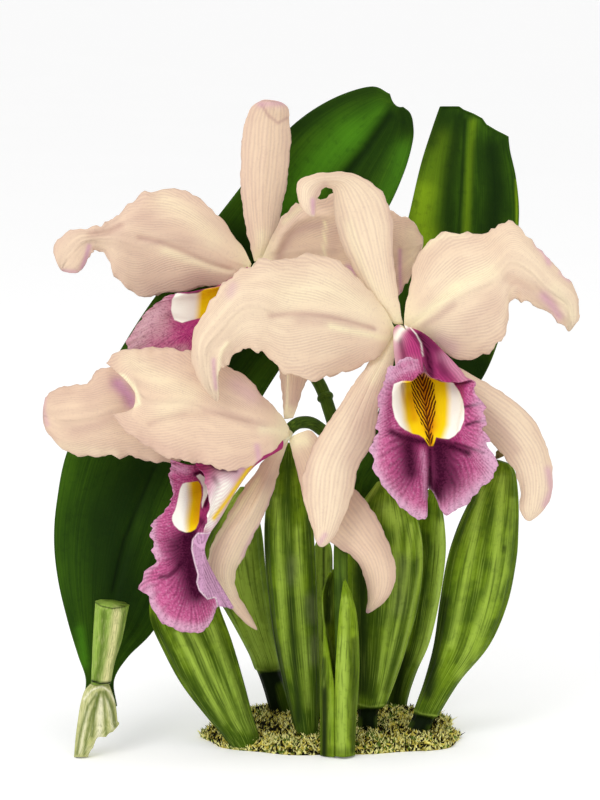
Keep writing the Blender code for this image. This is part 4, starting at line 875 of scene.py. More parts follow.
        ("dark", 0.8, 9, (362, 560), (362, 620), (364, 690)),
        ("ink", 0.5, 7, (362, 560), (363, 690)),
        ("dark", 0.7, 5, (382, 560), (378, 620), (372, 696)),
        ("ash", 0.35, 7, (402, 560), (398, 610)),
        ("light", 0.9, 1.0, (357, 704), (370, 707), (384, 705)),
        ("ink", 1.0, 9, (368, 718), (368, 745)),
        ("ink", 1.0, 4, (359, 712), (380, 712)),
    ),
    "pseudobulb_right_rear": (
        ("light", 1.0, 6, (441, 525), (438, 600), (422, 660)),
        ("dark", 0.8, 3, (428, 535), (424, 600), (408, 665)),
        ("dark", 0.8, 9, (400, 660), (394, 710)),
        ("ink", 0.6, 6, (404, 655), (394, 712)),
    ),
    "pseudobulb_right": (
        ("light", 0.6, 4, (482, 490), (470, 560), (452, 645)),
        ("light", 0.6, 5, (503, 478), (494, 580), (460, 675)),
        ("light", 0.4, 3, (512, 500), (506, 570), (474, 660)),
        ("dark", 0.8, 5, (474, 495), (455, 545), (440, 610), (426, 690)),
        ("ink", 0.6, 6, (446, 600), (428, 695)),
        ("dark", 0.5, 3, (492, 490), (482, 570), (456, 660)),
        ("dark", 0.6, 3, (517, 520), (512, 580), (492, 640)),
        ("ink", 0.9, 2.2, (504, 549),),
        ("light", 0.9, 1.0, (411, 709), (422, 714), (437, 716)),
        ("ink", 1.0, 9, (420, 726), (404, 752)),
        ("ink", 1.0, 4, (414, 717), (430, 721)),
    ),
    "bulb_fragment": (
        ("light", 0.8, 3, (101, 700), (99, 740)),
        ("light", 0.6, 2, (108, 700), (113, 728)),
        ("light", 0.5, 2, (87, 712), (80, 752)),
        ("dark", 0.8, 1.4, (97, 693), (88, 706), (80, 734), (77, 754)),
        ("dark", 0.8, 1.6, (100, 692), (92, 712), (87, 735), (84, 754)),
        ("dark", 0.9, 2.2, (98, 696), (94, 716), (92, 736)),
        ("dark", 0.8, 1.4, (103, 692), (105, 712), (106, 734)),
        ("dark", 0.9, 2.0, (105, 692), (112, 708), (115, 726)),
        ("light", 0.9, 1.0, (84, 699), (92, 690), (102, 686), (110, 692), (116, 704)),
    ),
    # The cut stalk: painted shade down its left, a painted highlight right of its middle, and near-black
    # lines at its top and bottom ends.
    "cut_stalk": (
        ("dark", 0.75, 3.5, (104, 612), (102, 650), (97, 680)),
        ("dark", 0.4, 2, (125, 612), (114, 665)),
        ("light", 0.85, 5, (117, 612), (112, 650), (106, 680)),
        ("ink", 0.6, 0.8, (95, 602), (101, 606), (112, 608.5), (124, 607), (129, 603)),
        ("ink", 0.9, 1.2, (92, 681), (100, 683.5), (112, 682.5)),
    ),
    # The sheath: painted shade on its left flap and in the gap between its flaps, painted light down its
    # right side.
    "young_shoot_sheath": (
        ("dark", 1.0, 6, (328, 582), (328, 620)),
        ("ink", 0.6, 3, (324, 690), (324, 755)),
        ("ink", 0.45, 3, (353, 640), (353, 750)),
        ("dark", 0.25, 1.2, (335, 668), (334.5, 758)),
        ("light", 0.7, 1.0, (320, 594), (323, 616), (331, 646), (336, 668)),
        ("light", 0.6, 4, (345, 600), (344, 680), (341, 745)),
        ("light", 0.3, 2, (330, 690), (330, 745)),
        ("dark", 0.9, 4, (323, 660), (325, 700), (324, 755)),
        ("light", 0.8, 5, (343, 640), (342, 750)),
        ("dark", 0.45, 3, (356, 640), (355, 750)),
        ("dark", 0.35, 2, (349, 610), (350, 740)),
        ("dark", 0.4, 4, (330, 752), (352, 752)),
    ),
    "bloom_a_lip": (
        ("dark", 0.95, 10, (409, 447), (411, 472)),
        ("dark", 0.35, 13, (400, 446), (405, 482)),
        ("dark", 1.0, 11, (438, 447), (441, 478), (437, 494)),
        ("dark", 0.7, 13, (448, 452), (452, 482)),
        ("dark", 0.95, 4, (392, 432), (402, 437), (418, 441), (432, 442), (448, 445), (468, 453)),
        ("pale", 0.35, 3, (423, 452), (424.5, 470), (425, 498)),
        # Painted shadow that the left half's edge casts on the right half.
        ("dark", 0.9, 2.5, (430, 450), (430.5, 475), (430, 492)),
        ("pale", 0.6, 6, (390, 370), (384, 385), (379, 410), (377, 432)),
        ("dark", 0.3, 5, (391, 382), (389, 405), (388, 430)),
        ("pale", 0.95, 2.6, (388, 372), (396, 363), (406, 358), (418, 356)),
        ("pale", 0.6, 5, (392, 378), (402, 370), (414, 366)),
        ("pale", 0.8, 4, (426, 364), (427, 376)),
        ("pale", 0.85, 9, (370, 446), (371, 465), (381, 487), (393, 502), (412, 514), (424, 518)),
        ("pale", 0.85, 12, (456, 512), (472, 500), (487, 484), (495, 470), (490, 454)),
        ("pale", 0.5, 7, (478, 402), (485, 420), (484, 444)),
        # Painted shadow lines beneath the pleats of the right margin.
        ("dark", 0.9, 1.6, (464, 407), (475, 405), (484, 402)),
        ("dark", 0.9, 1.6, (466, 425), (476, 422), (488, 420)),
        ("dark", 0.8, 1.6, (455, 443), (470, 448), (484, 453)),
        ("dark", 0.8, 1.4, (455, 384), (466, 383), (471, 381)),
        ("ember", 0.95, 8, (422, 374), (426, 400), (430, 425)),
        ("ember", 0.9, 3, (430, 425), (431, 448)),
        ("ember", 0.6, 5, (411, 395), (414, 418)),
        ("blush", 0.85, 9, (394, 336), (391, 352), (392, 372)),
        ("blush", 0.6, 7, (398, 372), (412, 366)),
        ("blush", 0.35, 7, (444, 356), (458, 370), (468, 384)),
        ("shade", 0.5, 4, (414, 332), (428, 340), (436, 348)),
        ("shade", 0.4, 4, (440, 366), (452, 380)),
        ("milky", 1.0, 3.5, (406, 326), (400, 331), (396, 338)),
        ("shade", 1.0, 4.5, (420, 336), (427, 348), (430, 364), (431, 376)),
        ("shade", 0.5, 6, (426, 336), (438, 352), (444, 372)),
        ("shade", 0.6, 3, (400, 340), (404, 356), (404, 366)),
        ("milky", 0.9, 0.7, (409, 326), (416, 334), (421, 343), (423, 356)),
        ("fold", -1.2, 2.6, (418, 338), (424, 352), (428, 368)),
        ("fold", 0.7, 7, (400, 392), (398, 410), (402, 428)),
        ("fold", 0.7, 7, (456, 392), (460, 410), (454, 428)),
        ("fold", -1.4, 3.5, (426, 378), (428, 410), (430, 440), (428, 500)),
        ("fold", 1.0, 6, (404, 452), (398, 480)),
        ("fold", 1.0, 6, (452, 458), (462, 482)),
        ("reach", -3.0, 5, (476, 392)),
        ("reach", 2.0, 4, (482, 403)),
        ("reach", 2.2, 4, (489, 419)),
        ("reach", -1.5, 3, (487, 409)),
        ("reach", -2.5, 4, (488, 430)),
        ("reach", -4.5, 4, (489, 447)),
        ("reach", 2.0, 5, (495, 462)),
        ("reach", -4.5, 4, (374, 434)),
        ("reach", 2.5, 4, (369, 447)),
    ),
    "bloom_b_lip": (
        ("ember", 0.9, 5, (224, 292), (229, 290)),
        ("pale", 0.9, 14, (150, 312), (140, 335), (135, 345)),
        ("pale", 0.6, 12, (165, 305), (160, 330)),
        ("pale", 0.5, 5, (185, 348), (160, 352)),
        ("dark", 0.8, 3, (186, 291), (204, 289)),
        ("fold", -1.2, 4, (170, 318), (190, 322), (212, 316)),
    ),
    "bloom_c_lip": (
        ("ember", 1.0, 1.9, (201.5, 484), (202.5, 495), (201, 508), (200, 520)),
        ("ember", 0.5, 4, (197, 484), (198, 500), (196, 522)),
        ("dark", 1.0, 11, (189, 540), (190, 552), (191, 566), (194, 580), (198, 592)),
        ("dark", 0.6, 13, (178, 545), (184, 575), (190, 595)),
        ("dark", 1.0, 8, (191, 534), (194, 562), (199, 588)),
        ("dark", 0.5, 12, (176, 545), (180, 560)),
        # Painted shadow line beneath the fold in the left lobe.
        ("dark", 0.8, 2.4, (186, 556), (177, 569), (168, 576), (160, 577)),
        ("dark", 0.7, 4, (200, 520), (206, 527)),
        ("dark", 0.95, 2.2, (195, 474), (201, 472), (208, 478), (211, 486), (209, 496), (205, 506)),
        ("pale", 0.5, 5, (176, 468), (186, 470)),
        ("pale", 0.7, 5, (152, 525), (152, 542), (158, 556)),
        ("pale", 0.7, 5, (150, 588), (152, 605), (164, 620), (185, 628), (205, 628), (215, 618)),
        ("blush", 1.0, 12, (226, 474), (216, 496), (208, 520)),
        ("blush", 0.8, 12, (240, 470), (228, 492), (212, 520)),
        ("milky", 1.0, 8, (226, 486), (216, 503), (208, 522)),
        ("yolk", 1.0, 2.4, (252, 464), (240, 481), (228, 499), (214, 518)),
        ("shade", 0.8, 2, (204, 460), (214, 467), (222, 470), (236, 471)),
        ("shade", 0.6, 3, (214, 478), (219, 486), (214, 500)),
        ("fold", -1.5, 4, (188, 540), (190, 560), (194, 585)),
        ("fold", 1.2, 6, (186, 492), (184, 512), (184, 524)),
        ("fold", -1.0, 3, (186, 556), (177, 569), (165, 577)),
        ("reach", -4.0, 7, (158, 499)),
        ("reach", 2.5, 5, (155, 521)),
        ("reach", -6.5, 6, (151, 565)),
        ("reach", 2.5, 5, (148, 585)),
    ),
}

# Areas are closed outlines on the plate, in half millimetres. The piece's field of the same name is
# how far inside each place is.
AREAS = {
    "bloom_a_lip": {
        "pad": (
            (394, 384), (402, 381), (412, 381), (419, 376), (424, 372), (430, 377), (442, 382),
            (453, 383), (459, 391), (463, 400), (464.5, 410), (464, 420), (460, 430), (455, 436),
            (449, 439), (441, 438), (436, 437), (433, 446), (429, 446), (424, 438), (419, 435),
            (413, 434), (405, 430), (400, 426), (395, 418), (392, 406), (392, 392),
        ),
        "gold": (
            (404, 376), (447, 376), (449, 400), (448, 425), (440, 447), (425, 455), (412, 440),
            (405, 420), (403, 400),
        ),
    },
    "bloom_b_lip": {
        "pad": (
            (176, 293), (188, 294), (198, 293), (207, 288), (218, 284), (230, 282), (234, 292),
            (222, 299), (214, 304), (211, 313), (208, 316), (192, 320), (182, 323), (174, 320),
            (171, 310), (172, 300),
        ),
        "gold": ((200, 284), (236, 278), (238, 296), (214, 306), (207, 320), (197, 320)),
    },
    "bloom_c_lip": {
        "pad": (
            (180, 490), (182.5, 484), (186, 482.5), (192, 482), (198, 481), (201, 485), (202, 495),
            (200.5, 505), (199.5, 515), (199, 522), (196, 529), (191, 532), (186, 532.5),
            (179, 530), (174, 525), (172, 520), (172, 516), (175, 510), (177.5, 501),
        ),
        "gold": ((189, 476), (206, 476), (206, 532), (187, 538), (187, 520), (190, 500)),
        "crescent": (
            (196, 476), (200, 474), (205, 477.5), (209, 482.5), (209, 490), (207, 496),
            (204, 502.5), (202, 509), (201.5, 502.5), (203, 495), (203, 487.5), (200, 481),
        ),
        "curl": (
            (207.5, 532.5), (197.5, 532.5), (192, 539), (191, 549), (194, 562.5), (197.5, 575),
            (196, 582.5), (199, 591), (207.5, 600), (215, 598), (217.5, 609), (227.5, 618),
            (238, 628), (240, 560), (215, 530),
        ),
    },
}


def seen(across, down, depth):
    """The point at this depth that is seen at this place on the plate."""
    on_plate = AIM + (across - PLATE_WIDTH / 2) * RIGHT + (PLATE_HEIGHT / 2 - down) * UP
    ray = on_plate - EYE
    return EYE + ray * ((depth - EYE[1]) / ray[1])


def places_of(points):
    """Where on the plate each point is seen: across and down."""
    ray = points - EYE
    onto = EYE + ray * (EYE_DISTANCE / (ray @ AHEAD))[..., None]
    return (onto - AIM) @ RIGHT + PLATE_WIDTH / 2, PLATE_HEIGHT / 2 - (onto - AIM) @ UP


def unit(vectors):
    """The vectors at length 1."""
    return vectors / np.maximum(np.linalg.norm(vectors, axis=-1, keepdims=True), 1e-9)


def ramp(value, low, high=1.0):
    """0 up to low, 1 from high on, and straight between."""
    return np.clip((value - low) / (high - low), 0, 1)


def curve(points, places, beyond=None):
    """A smooth line through the points, at places counted from 0 at the first point."""
    points = np.asarray(points, float)
    before = 2 * points[0] - points[1]
    after = 2 * points[-1] - points[-2] if beyond is None else beyond
    held = np.concatenate([before[None], points, after[None]])
    places = np.clip(np.asarray(places, float), 0, len(points) - 1)
    start = np.minimum(places.astype(int), len(points) - 2)
    part = (places - start).reshape((-1,) + (1,) * (points.ndim - 1))
    a, b, c, d = (held[start + i] for i in range(4))
    bend = 2 * a - 5 * b + 4 * c - d
    return 0.5 * (2 * b + (c - a) * part + bend * part**2 + (3 * b - a - 3 * c + d) * part**3)


def lumps(points, size, seed):
    """A smooth uneven field over the points, about -1 to 1, with lumps about this many mm wide."""
    draw = np.random.default_rng(seed)
    total = np.zeros(points.shape[:-1])
    for _ in range(9):
        way = unit(draw.normal(size=3)) * draw.uniform(0.7, 1.5) * math.pi / size
        total += np.sin(points @ way + draw.uniform(0, 2 * math.pi))
    return total / 3


def off_line(across, down, line):
    """How far, in half millimetres of the plate, each place is from a line of points."""
    x, y = MARK_SCALE * across, MARK_SCALE * down
    if len(line) == 1:
        return np.hypot(x - line[0][0], y - line[0][1])
    nearest = np.full(x.shape, np.inf)
    for (x0, y0), (x1, y1) in zip(line, line[1:]):
        length = (x1 - x0) ** 2 + (y1 - y0) ** 2
        part = np.clip(((x - x0) * (x1 - x0) + (y - y0) * (y1 - y0)) / length, 0, 1)
        nearest = np.minimum(nearest, np.hypot(x - x0 - part * (x1 - x0), y - y0 - part * (y1 - y0)))
    return nearest


def strokes(across, down, name, kind):
    """What the piece's marks of this kind leave at each place: 0 to 1 for a colour, else in mm."""
    total = np.zeros(across.shape)
    for what, strength, width, *line in MARKS.get(name, ()):
        if what != kind:
            continue
        touch = strength * np.exp(-((off_line(across, down, line) / width) ** 2))
        total = total + touch * (1 if kind in SHAPING else 1 - total)
    return total


def depth_inside(across, down, outline):
    """How far inside a closed outline each place is, in half millimetres; outside is below 0."""
    x, y = MARK_SCALE * across, MARK_SCALE * down
    inside = np.zeros(x.shape, bool)
    for (x0, y0), (x1, y1) in zip(outline, outline[1:] + outline[:1]):
        if y0 == y1:
            continue
        crossing = (y0 > y) != (y1 > y)
        inside ^= crossing & (x < x0 + (y - y0) * (x1 - x0) / (y1 - y0))
    gap = off_line(across, down, outline + outline[:1])
    return np.where(inside, gap, -gap)


def kinds_of(name):
    """The kinds of colour marks that the piece has."""
    return {mark[0] for mark in MARKS.get(name, ())} - set(SHAPING)


def painted(name, across, down):
    """The piece's colour marks and areas as fields."""
    fields = {kind: strokes(across, down, name, kind) for kind in kinds_of(name)}
    for kind, outline in AREAS.get(name, {}).items():
        fields[kind] = depth_inside(across, down, outline)
    return fields


def folded(name, grid):
    """The grid with its folds lifted towards the eye."""
    return grid - AHEAD * strokes(*places_of(grid), name, "fold")[..., None]


def over(points, line):
    """How far above a line on the plate each point is seen, below 0 where it is under the line."""
    across, down = places_of(points)
    return np.interp(MARK_SCALE * across, *np.array(line, float).T) / MARK_SCALE - down


def mesh_piece(name, points, faces, fields, looks):
    """A smooth mesh that stands for the CAD node of this name. fields are numbers at its points."""
    across, down = places_of(points)
    fields.update(across=across, down=down)
    fields.update(painted(name, across, down))
    points[:, 2] = np.maximum(points[:, 2], 0.0)
    mesh = bpy.data.meshes.new(name + "_fine")
    mesh.from_pydata((points * MM).tolist(), [], faces)
    mesh.validate()
    mesh.polygons.foreach_set("use_smooth", [True] * len(mesh.polygons))
    for key, values in fields.items():
        layer = mesh.attributes.new(key, "FLOAT", "POINT")
        layer.data.foreach_set("value", np.asarray(values, np.float32).reshape(-1))
    mesh.materials.append(looks)
    piece = bpy.data.objects.new(name + "_fine", mesh)
    bpy.context.scene.collection.objects.link(piece)
    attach(piece, "root")
    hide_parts(name)


def normals_of(grid):
    """The unit normal at each point of a grid of points."""
    along = np.gradient(grid, axis=0)
    across = np.gradient(grid, axis=1)
    return unit(np.cross(across, along))


def sheet_faces(rows, columns):
    """The faces of a closed sheet: one side, the other side and the rim between them."""
    back = rows * columns
    faces = []
    for i in range(rows - 1):
        for j in range(columns - 1):
            a = i * columns + j
            b, c, d = a + 1, a + columns + 1, a + columns
            faces.append((a, b, c, d))
            faces.append((back + a, back + d, back + c, back + b))
    rim = list(range(columns))
    rim += [i * columns + columns - 1 for i in range(1, rows)]
    rim += [(rows - 1) * columns + j for j in range(columns - 2, -1, -1)]
    rim += [i * columns for i in range(rows - 2, 0, -1)]
    for here, there in zip(rim, rim[1:] + rim[:1]):
        faces.append((here, back + here, back + there, there))
    return faces


def sheet_piece(name, grid, thickness, fields, looks):
    """A closed thin piece round a grid of points. thickness and fields hold a number per point."""
    half = normals_of(grid) * (thickness / 2)[:, :, None]
    points = np.concatenate([(grid + half).reshape(-1, 3), (grid - half).reshape(-1, 3)])
    fields = {key: np.tile(values.reshape(-1), 2) for key, values in fields.items()}
    fields["side"] = np.repeat([1.0, 0.0], thickness.size)
    mesh_piece(name, points, sheet_faces(*thickness.shape), fields, looks)


def blade_lines(rows, steps):
    """Points along the left edge, the midline and the right edge of a blade."""
    full = [row for row in rows if len(row) > 3]
    left = [seen(row[0], row[1], row[4]) for row in full]
    right = [seen(row[2], row[3], row[6]) for row in full]
    middle = []
    for row in full:
        place = row[7:9] if len(row) > 7 else ((row[0] + row[2]) / 2, (row[1] + row[3]) / 2)
        middle.append(seen(place[0], place[1], row[5]))
    last = float(len(full) - 1)
    beyond = (None, None)
    if len(rows) > len(full):
        tip = seen(*rows[-1])
        beyond = (right[-1], left[-1])
        left, middle, right = left + [tip], middle + [tip], right + [tip]
        last += TIP_SHARE
    places = np.linspace(0, last, steps)
    return curve(left, places, beyond[0]), curve(middle, places), curve(right, places, beyond[1])


def waved(grid, s, t, waves):
    """The blade's grid with waves towards its margins, a frill at its edge and an uneven outline."""
    (height, count, shift), (frill, ripples), ragged = waves
    window = np.sin(math.pi * t) ** 0.6
    wave = np.sin(2 * math.pi * count * t + shift + 1.3 * np.sign(s))
    ripple = np.sin(2 * math.pi * ripples * t + 3 * np.sin(9 * t + shift) + 2.1 * np.sign(s))
    rise = height * np.abs(s) ** 2.5 * window * wave + frill * np.abs(s) ** 6 * window * ripple
    grid = grid + normals_of(grid) * rise[:, :, None]
    uneven = lumps(grid, 5.0, 11) + 0.5 * lumps(grid, 1.8, 12)
    push = ragged * np.sign(s) * np.abs(s) ** 5 * window * uneven
    return grid + unit(np.gradient(grid, axis=1)) * push[:, :, None]


def blade(name, rows, size, thickness, waves, crease, looks, slot, cut=None):
    """A sepal, petal or leaf, thinner at its margins; s runs across it and t along it.

    crease is the depth of the crease on its midline, and cut the line that its top is cut along.
    """
    left, middle, right = (line[:, None] for line in blade_lines(rows, size[0]))
    s = np.linspace(-1, 1, size[1])[None, :] + np.zeros((size[0], 1))
    t = np.linspace(0, 1, size[0])[:, None] + np.zeros((1, size[1]))
    share = s[:, :, None]
    grid = left * share * (share - 1) / 2 + middle * (1 - share**2) + right * share * (share + 1) / 2
    grid = waved(grid, s, t, waves)
    dip = crease * np.exp(-((s / CREASE_WIDTH) ** 2)) * np.sin(math.pi * np.clip(t, 0, 1)) ** 0.5
    grid = folded(name, grid + normals_of(grid) * dip[:, :, None])
    if cut is not None:
        grid = grid - UP * np.maximum(over(grid, cut), 0.0)[..., None]
    thin = np.clip(np.maximum(np.abs(s), 2 * t - 1), 0, 1) ** 4
    depth = thickness[0] + (thickness[1] - thickness[0]) * thin
    sheet_piece(name, grid, depth, {"s": s, "t": t}, looks)


def ribbed_grid(ribs, steps, columns):
    """Points of a sheet through ribs that run side by side."""
    lines = np.array([[seen(*point) for point in rib] for rib in ribs])
    along = curve(lines.transpose(1, 0, 2), np.linspace(0, lines.shape[1] - 1, steps))
    grid = curve(along.transpose(1, 0, 2), np.linspace(0, len(ribs) - 1, columns))
    return grid.transpose(1, 0, 2)


def ribbed(name, ribs, size, thickness, waves, looks):
    """A sheet through ribs, such as a lip: u runs round it and v from its foot to its margin."""
    steps, columns = size
    grid = ribbed_grid(ribs, steps, columns)
    v = np.linspace(0, 1, steps)[:, None] + np.zeros((1, columns))
    u = np.linspace(0, 1, columns)[None, :] + np.zeros((steps, 1))
    (height, count, shift), (frill, pleats) = waves
    rise = height * ramp(v, LIP_WAVES_FROM) ** 1.5 * np.sin(2 * math.pi * count * u + shift)
    ripple = np.sin(2 * math.pi * pleats * u + 2.5 * np.sin(17 * u + shift))
    rise = rise + frill * ramp(v, LIP_FRILLS_FROM) ** 1.3 * ripple
    grid = grid + normals_of(grid) * rise[:, :, None]
    scallop = lumps(grid, 4.0, 21) + 0.5 * lumps(grid, 1.6, 22)
    push = LIP_SCALLOP * scallop * ramp(v, LIP_FRILLS_FROM) ** 2 * (frill > 0)
    push = push + strokes(*places_of(grid), name, "reach") * ramp(v, LIP_REACHES_FROM) ** 2
    grid = folded(name, grid + unit(np.gradient(grid, axis=0)) * push[:, :, None])
    depth = thickness[0] + (thickness[1] - thickness[0]) * ramp(v, LIP_THINS_FROM)
    sheet_piece(name, grid, depth, {"u": u, "v": v}, looks)


def bulb_rings(sections, size, groove):
    """Rings of points round a pseudobulb, with ribs and finer grooves along it."""
    steps, sides = size
    places = np.linspace(0, len(sections) - 1, steps)
    left = curve([seen(*row[0:2], row[4]) for row in sections], places)
    right = curve([seen(*row[2:4], row[4]) for row in sections], places)
    half = curve(np.array([[row[5]] for row in sections]), places)
    middle = (left + right) / 2
    side = (right - left) / 2
    turn = np.linspace(0, 2 * math.pi, sides, endpoint=False)[None, :]
    t = np.linspace(0, 1, steps)[:, None]
    drift = 0.5 * np.sin(5 * t + sections[0][0])
    rib = 1 - RIB_DEPTH * (1 - np.cos(BULB_RIBS * turn + 0 * t))
    fine = np.sin(23 * turn + 2 * drift + 1.5 * np.sin(3 * turn)) * np.sin(7 * turn + drift)
    rib = rib - groove * np.sin(math.pi * t) ** 0.5 * (0.5 + 0.5 * fine)
    rings = middle[:, None] + side[:, None] * (np.cos(turn) * rib)[:, :, None]
    rings = rings + BACK * (half * np.sin(turn) * rib)[:, :, None]
    return rings, {"turn": turn + 0 * t, "t": t + 0 * turn}


def shell(rings, fields, floor=None):
    """Points, faces and fields of a closed solid through rings. Nothing goes below floor."""
    count, sides = rings.shape[:2]
    ends = [rings[0].mean(axis=0), rings[-1].mean(axis=0)]
    points = np.concatenate([rings.reshape(-1, 3), ends])
    if floor is not None:
        points[:, 2] = np.maximum(points[:, 2], floor)
    first, last = count * sides, count * sides + 1
    faces = []
    for j in range(sides):
        k = (j + 1) % sides
        faces.append((first, j, k))
        faces.append((last, (count - 1) * sides + k, (count - 1) * sides + j))
        for i in range(count - 1):
            a, b = i * sides + j, i * sides + k
            faces.append((a, a + sides, b + sides, b))
    fields = {key: np.append(values.reshape(-1), [0.0, 1.0]) for key, values in fields.items()}
    return points, faces, fields


def solid(name, shells, looks):
    """One piece from closed shells."""
    points = np.concatenate([one[0] for one in shells])
    fields = {key: np.concatenate([one[2][key] for one in shells]) for key in shells[0][2]}
    faces, start = [], 0
    for one in shells:
        faces += [tuple(start + index for index in face) for face in one[1]]
        start += len(one[0])
    mesh_piece(name, points, faces, fields, looks)


def rod_rings(path, radii, size):
    """Rings of points round a smooth path, the radius changing along it."""
    steps, sides = size
    line = curve([seen(*point) for point in path], np.linspace(0, len(path) - 1, steps))
    radius = np.interp(np.linspace(0, 1, steps), np.linspace(0, 1, len(radii)), radii)
    ahead = unit(np.gradient(line, axis=0))
    side = np.cross(ahead[0], ASKEW)
    turn = np.linspace(0, 2 * math.pi, sides, endpoint=False)
    rings = []
    for i in range(steps):
        side = unit(side - ahead[i] * np.dot(side, ahead[i]))
        other = np.cross(ahead[i], side)
        ring = np.cos(turn)[:, None] * side + np.sin(turn)[:, None] * other
        rings.append(line[i] + radius[i] * ring)
    t = np.linspace(0, 1, steps)[:, None] + 0 * turn[None]
    return np.array(rings), {"turn": turn[None] + 0 * t, "t": t}


class Value:
    """The number or colour on a socket of a material's nodes, with arithmetic."""

    def __init__(self, paint, socket):
        self.paint = paint
        self.socket = socket

    def __add__(self, other):
        return self.paint.math("ADD", self, other)

    def __sub__(self, other):
        return self.paint.math("SUBTRACT", self, other)

    def __mul__(self, other):
        return self.paint.math("MULTIPLY", self, other)

    def __truediv__(self, other):
        return self.paint.math("DIVIDE", self, other)

    def __rsub__(self, other):
        return self.paint.math("SUBTRACT", other, self)

    __radd__ = __add__


class Paint:
    """One material, its nodes made from short formulas."""

    def __init__(self, name):
        self.material = bpy.data.materials.new(name)
        self.material.use_nodes = True
        self.tree = self.material.node_tree
        self.shader = self.tree.nodes["Principled BSDF"]

    def node(self, kind, settings, inputs, output=0):
        """A node's output, once its settings and inputs are set or linked."""
        made = self.tree.nodes.new(kind)
        for key, value in settings.items():
            setattr(made, key, value)
        for key, value in inputs.items():
            if isinstance(value, Value):
                self.tree.links.new(value.socket, made.inputs[key])
            else:
                made.inputs[key].default_value = value
        return Value(self, made.outputs[output])

    def math(self, operation, first, second=0.0):
        """One step of arithmetic."""
        return self.node("ShaderNodeMath", {"operation": operation}, {0: first, 1: second})

    def least(self, first, second):
        """The smaller of two numbers."""
        return self.math("MINIMUM", first, second)

    def size_of(self, value):
        """The number without its sign."""
        return self.math("ABSOLUTE", value)

    def field(self, name):
        """A number kept at the points of the mesh."""
        return self.node("ShaderNodeAttribute", {"attribute_name": name}, {}, "Fac")

    def vector(self, x, y, z=0.0):
        """A place made of three numbers."""
        return self.node("ShaderNodeCombineXYZ", {}, {0: x, 1: y, 2: z})

    def noise(self, place, scale, detail=2.0):
        """Smooth noise, about 0.2 to 0.8, with this many lumps to a unit of the place."""
        inputs = {"Vector": place, "Scale": scale, "Detail": detail}
        return self.node("ShaderNodeTexNoise", {}, inputs)

    def spot(self):
        """The place on the object, in metres."""
        return self.node("ShaderNodeTexCoord", {}, {}, "Object")

    def rise(self, value, low, high):
        """0 where the value is at low, 1 where it is at high, smooth between."""
        inputs = {"Value": value, "From Min": low, "From Max": high}
        return self.node("ShaderNodeMapRange", {"interpolation_type": "SMOOTHSTEP"}, inputs)

    def lines(self, phase, width):
        """1 on a thin line at each whole number of the phase; width is a share of the spacing."""
        part = self.math("FRACT", phase)
        return self.rise(self.least(part, 1.0 - part), width, 0.0)

    def mix(self, share, first, second):
        """The first colour where share is 0, the second where it is 1."""
        settings = {"data_type": "RGBA"}
        return self.node("ShaderNodeMix", settings, {0: share, 6: first, 7: second}, 2)

    def finish(self, look, roughness, relief=None, depth=0.0):
        """Put the colour, and the relief of this depth in metres, on the shader."""
        self.tree.links.new(look.socket, self.shader.inputs["Base Color"])
        if relief is not None:
            bump = self.node("ShaderNodeBump", {}, {"Height": relief, "Distance": depth})
            self.tree.links.new(bump.socket, self.shader.inputs["Normal"])
        self.shader.inputs["Roughness"].default_value = roughness
        self.shader.inputs["Specular IOR Level"].default_value = SHINE
        return self.material


def colour(red, green, blue):
    """A colour as it looks on a screen, 0 to 255, for a shader's socket."""
    parts = [value / 255 for value in (red, green, blue)]
    return tuple(v / 12.92 if v < 0.04045 else ((v + 0.055) / 1.055) ** 2.4 for v in parts) + (1.0,)


def greens(hatching, *tints):
    """What a striped part is painted with, by name."""
    kinds = ("base", "second", "light", "dark", "ash")
    return {"hatching": hatching, **{kind: colour(*tint) for kind, tint in zip(kinds, tints)}}


# How shiny each part is, and how deep the reliefs are, in metres.
SHINE = 0.06
FINE_RELIEF = 0.00008
GREEN_RELIEF = 0.00015
ROUGH_RELIEF = 0.0002
MOSS_RELIEF = 0.0003

WHITE = colour(255, 255, 255)
PAPER = colour(252, 252, 252)

# A bloom's sepals and petals: their own colour and the flush towards their margins.
CREAMS = {
    "a": (colour(240, 218, 188), colour(224, 196, 170)),
    "b": (colour(236, 210, 182), colour(222, 192, 170)),
    "c": (colour(232, 204, 176), colour(216, 184, 162)),
}
VEIN = colour(178, 146, 140)
# Painted shade in grey pink; a pale yellow cream for painted highlights that also pales midribs and bases;
# a rosy pink, the margins' own tint and also painted purple shade in folds.
SHADE_GREY_PINK = colour(196, 160, 146)
PALE_CREAM_AND_HIGHLIGHT = colour(250, 238, 198)
ROSY_AND_FOLD_SHADE = colour(206, 150, 182)
VEINS_OF_SEPAL = 6.5
VEINS_OF_PETAL = 27.0

MAGENTA = colour(186, 62, 124)
ROSE = colour(200, 98, 146)
PLUM = colour(56, 0, 34)
LILAC = colour(220, 172, 198)
LIP_RIMS = {"bloom_a_lip": LILAC, "bloom_b_lip": colour(208, 166, 172), "bloom_c_lip": LILAC}
CURL_LILAC = colour(206, 156, 190)
BLUSH = colour(232, 200, 208)
MILK = colour(255, 252, 240)
GOLD = colour(254, 216, 14)
EMBER = colour(212, 118, 6)
UMBER = colour(76, 26, 8)
COLUMN_WHITES = (colour(240, 236, 210), colour(220, 214, 170))

LEAF_GREENS = (colour(38, 68, 8), colour(60, 96, 14))
# The leaves' light greens are partly painted light, their dark and near-black greens partly painted shade.
LEAF_PALE_AND_LIT_GREENS = {"leaf_left": colour(78, 138, 24), "leaf_right": colour(128, 162, 24)}
LEAF_DARK_AND_SHADE_GREEN = colour(18, 40, 4)
LEAF_NEAR_BLACK = colour(8, 24, 3)
LEAF_MOTTLE = colour(16, 36, 8)

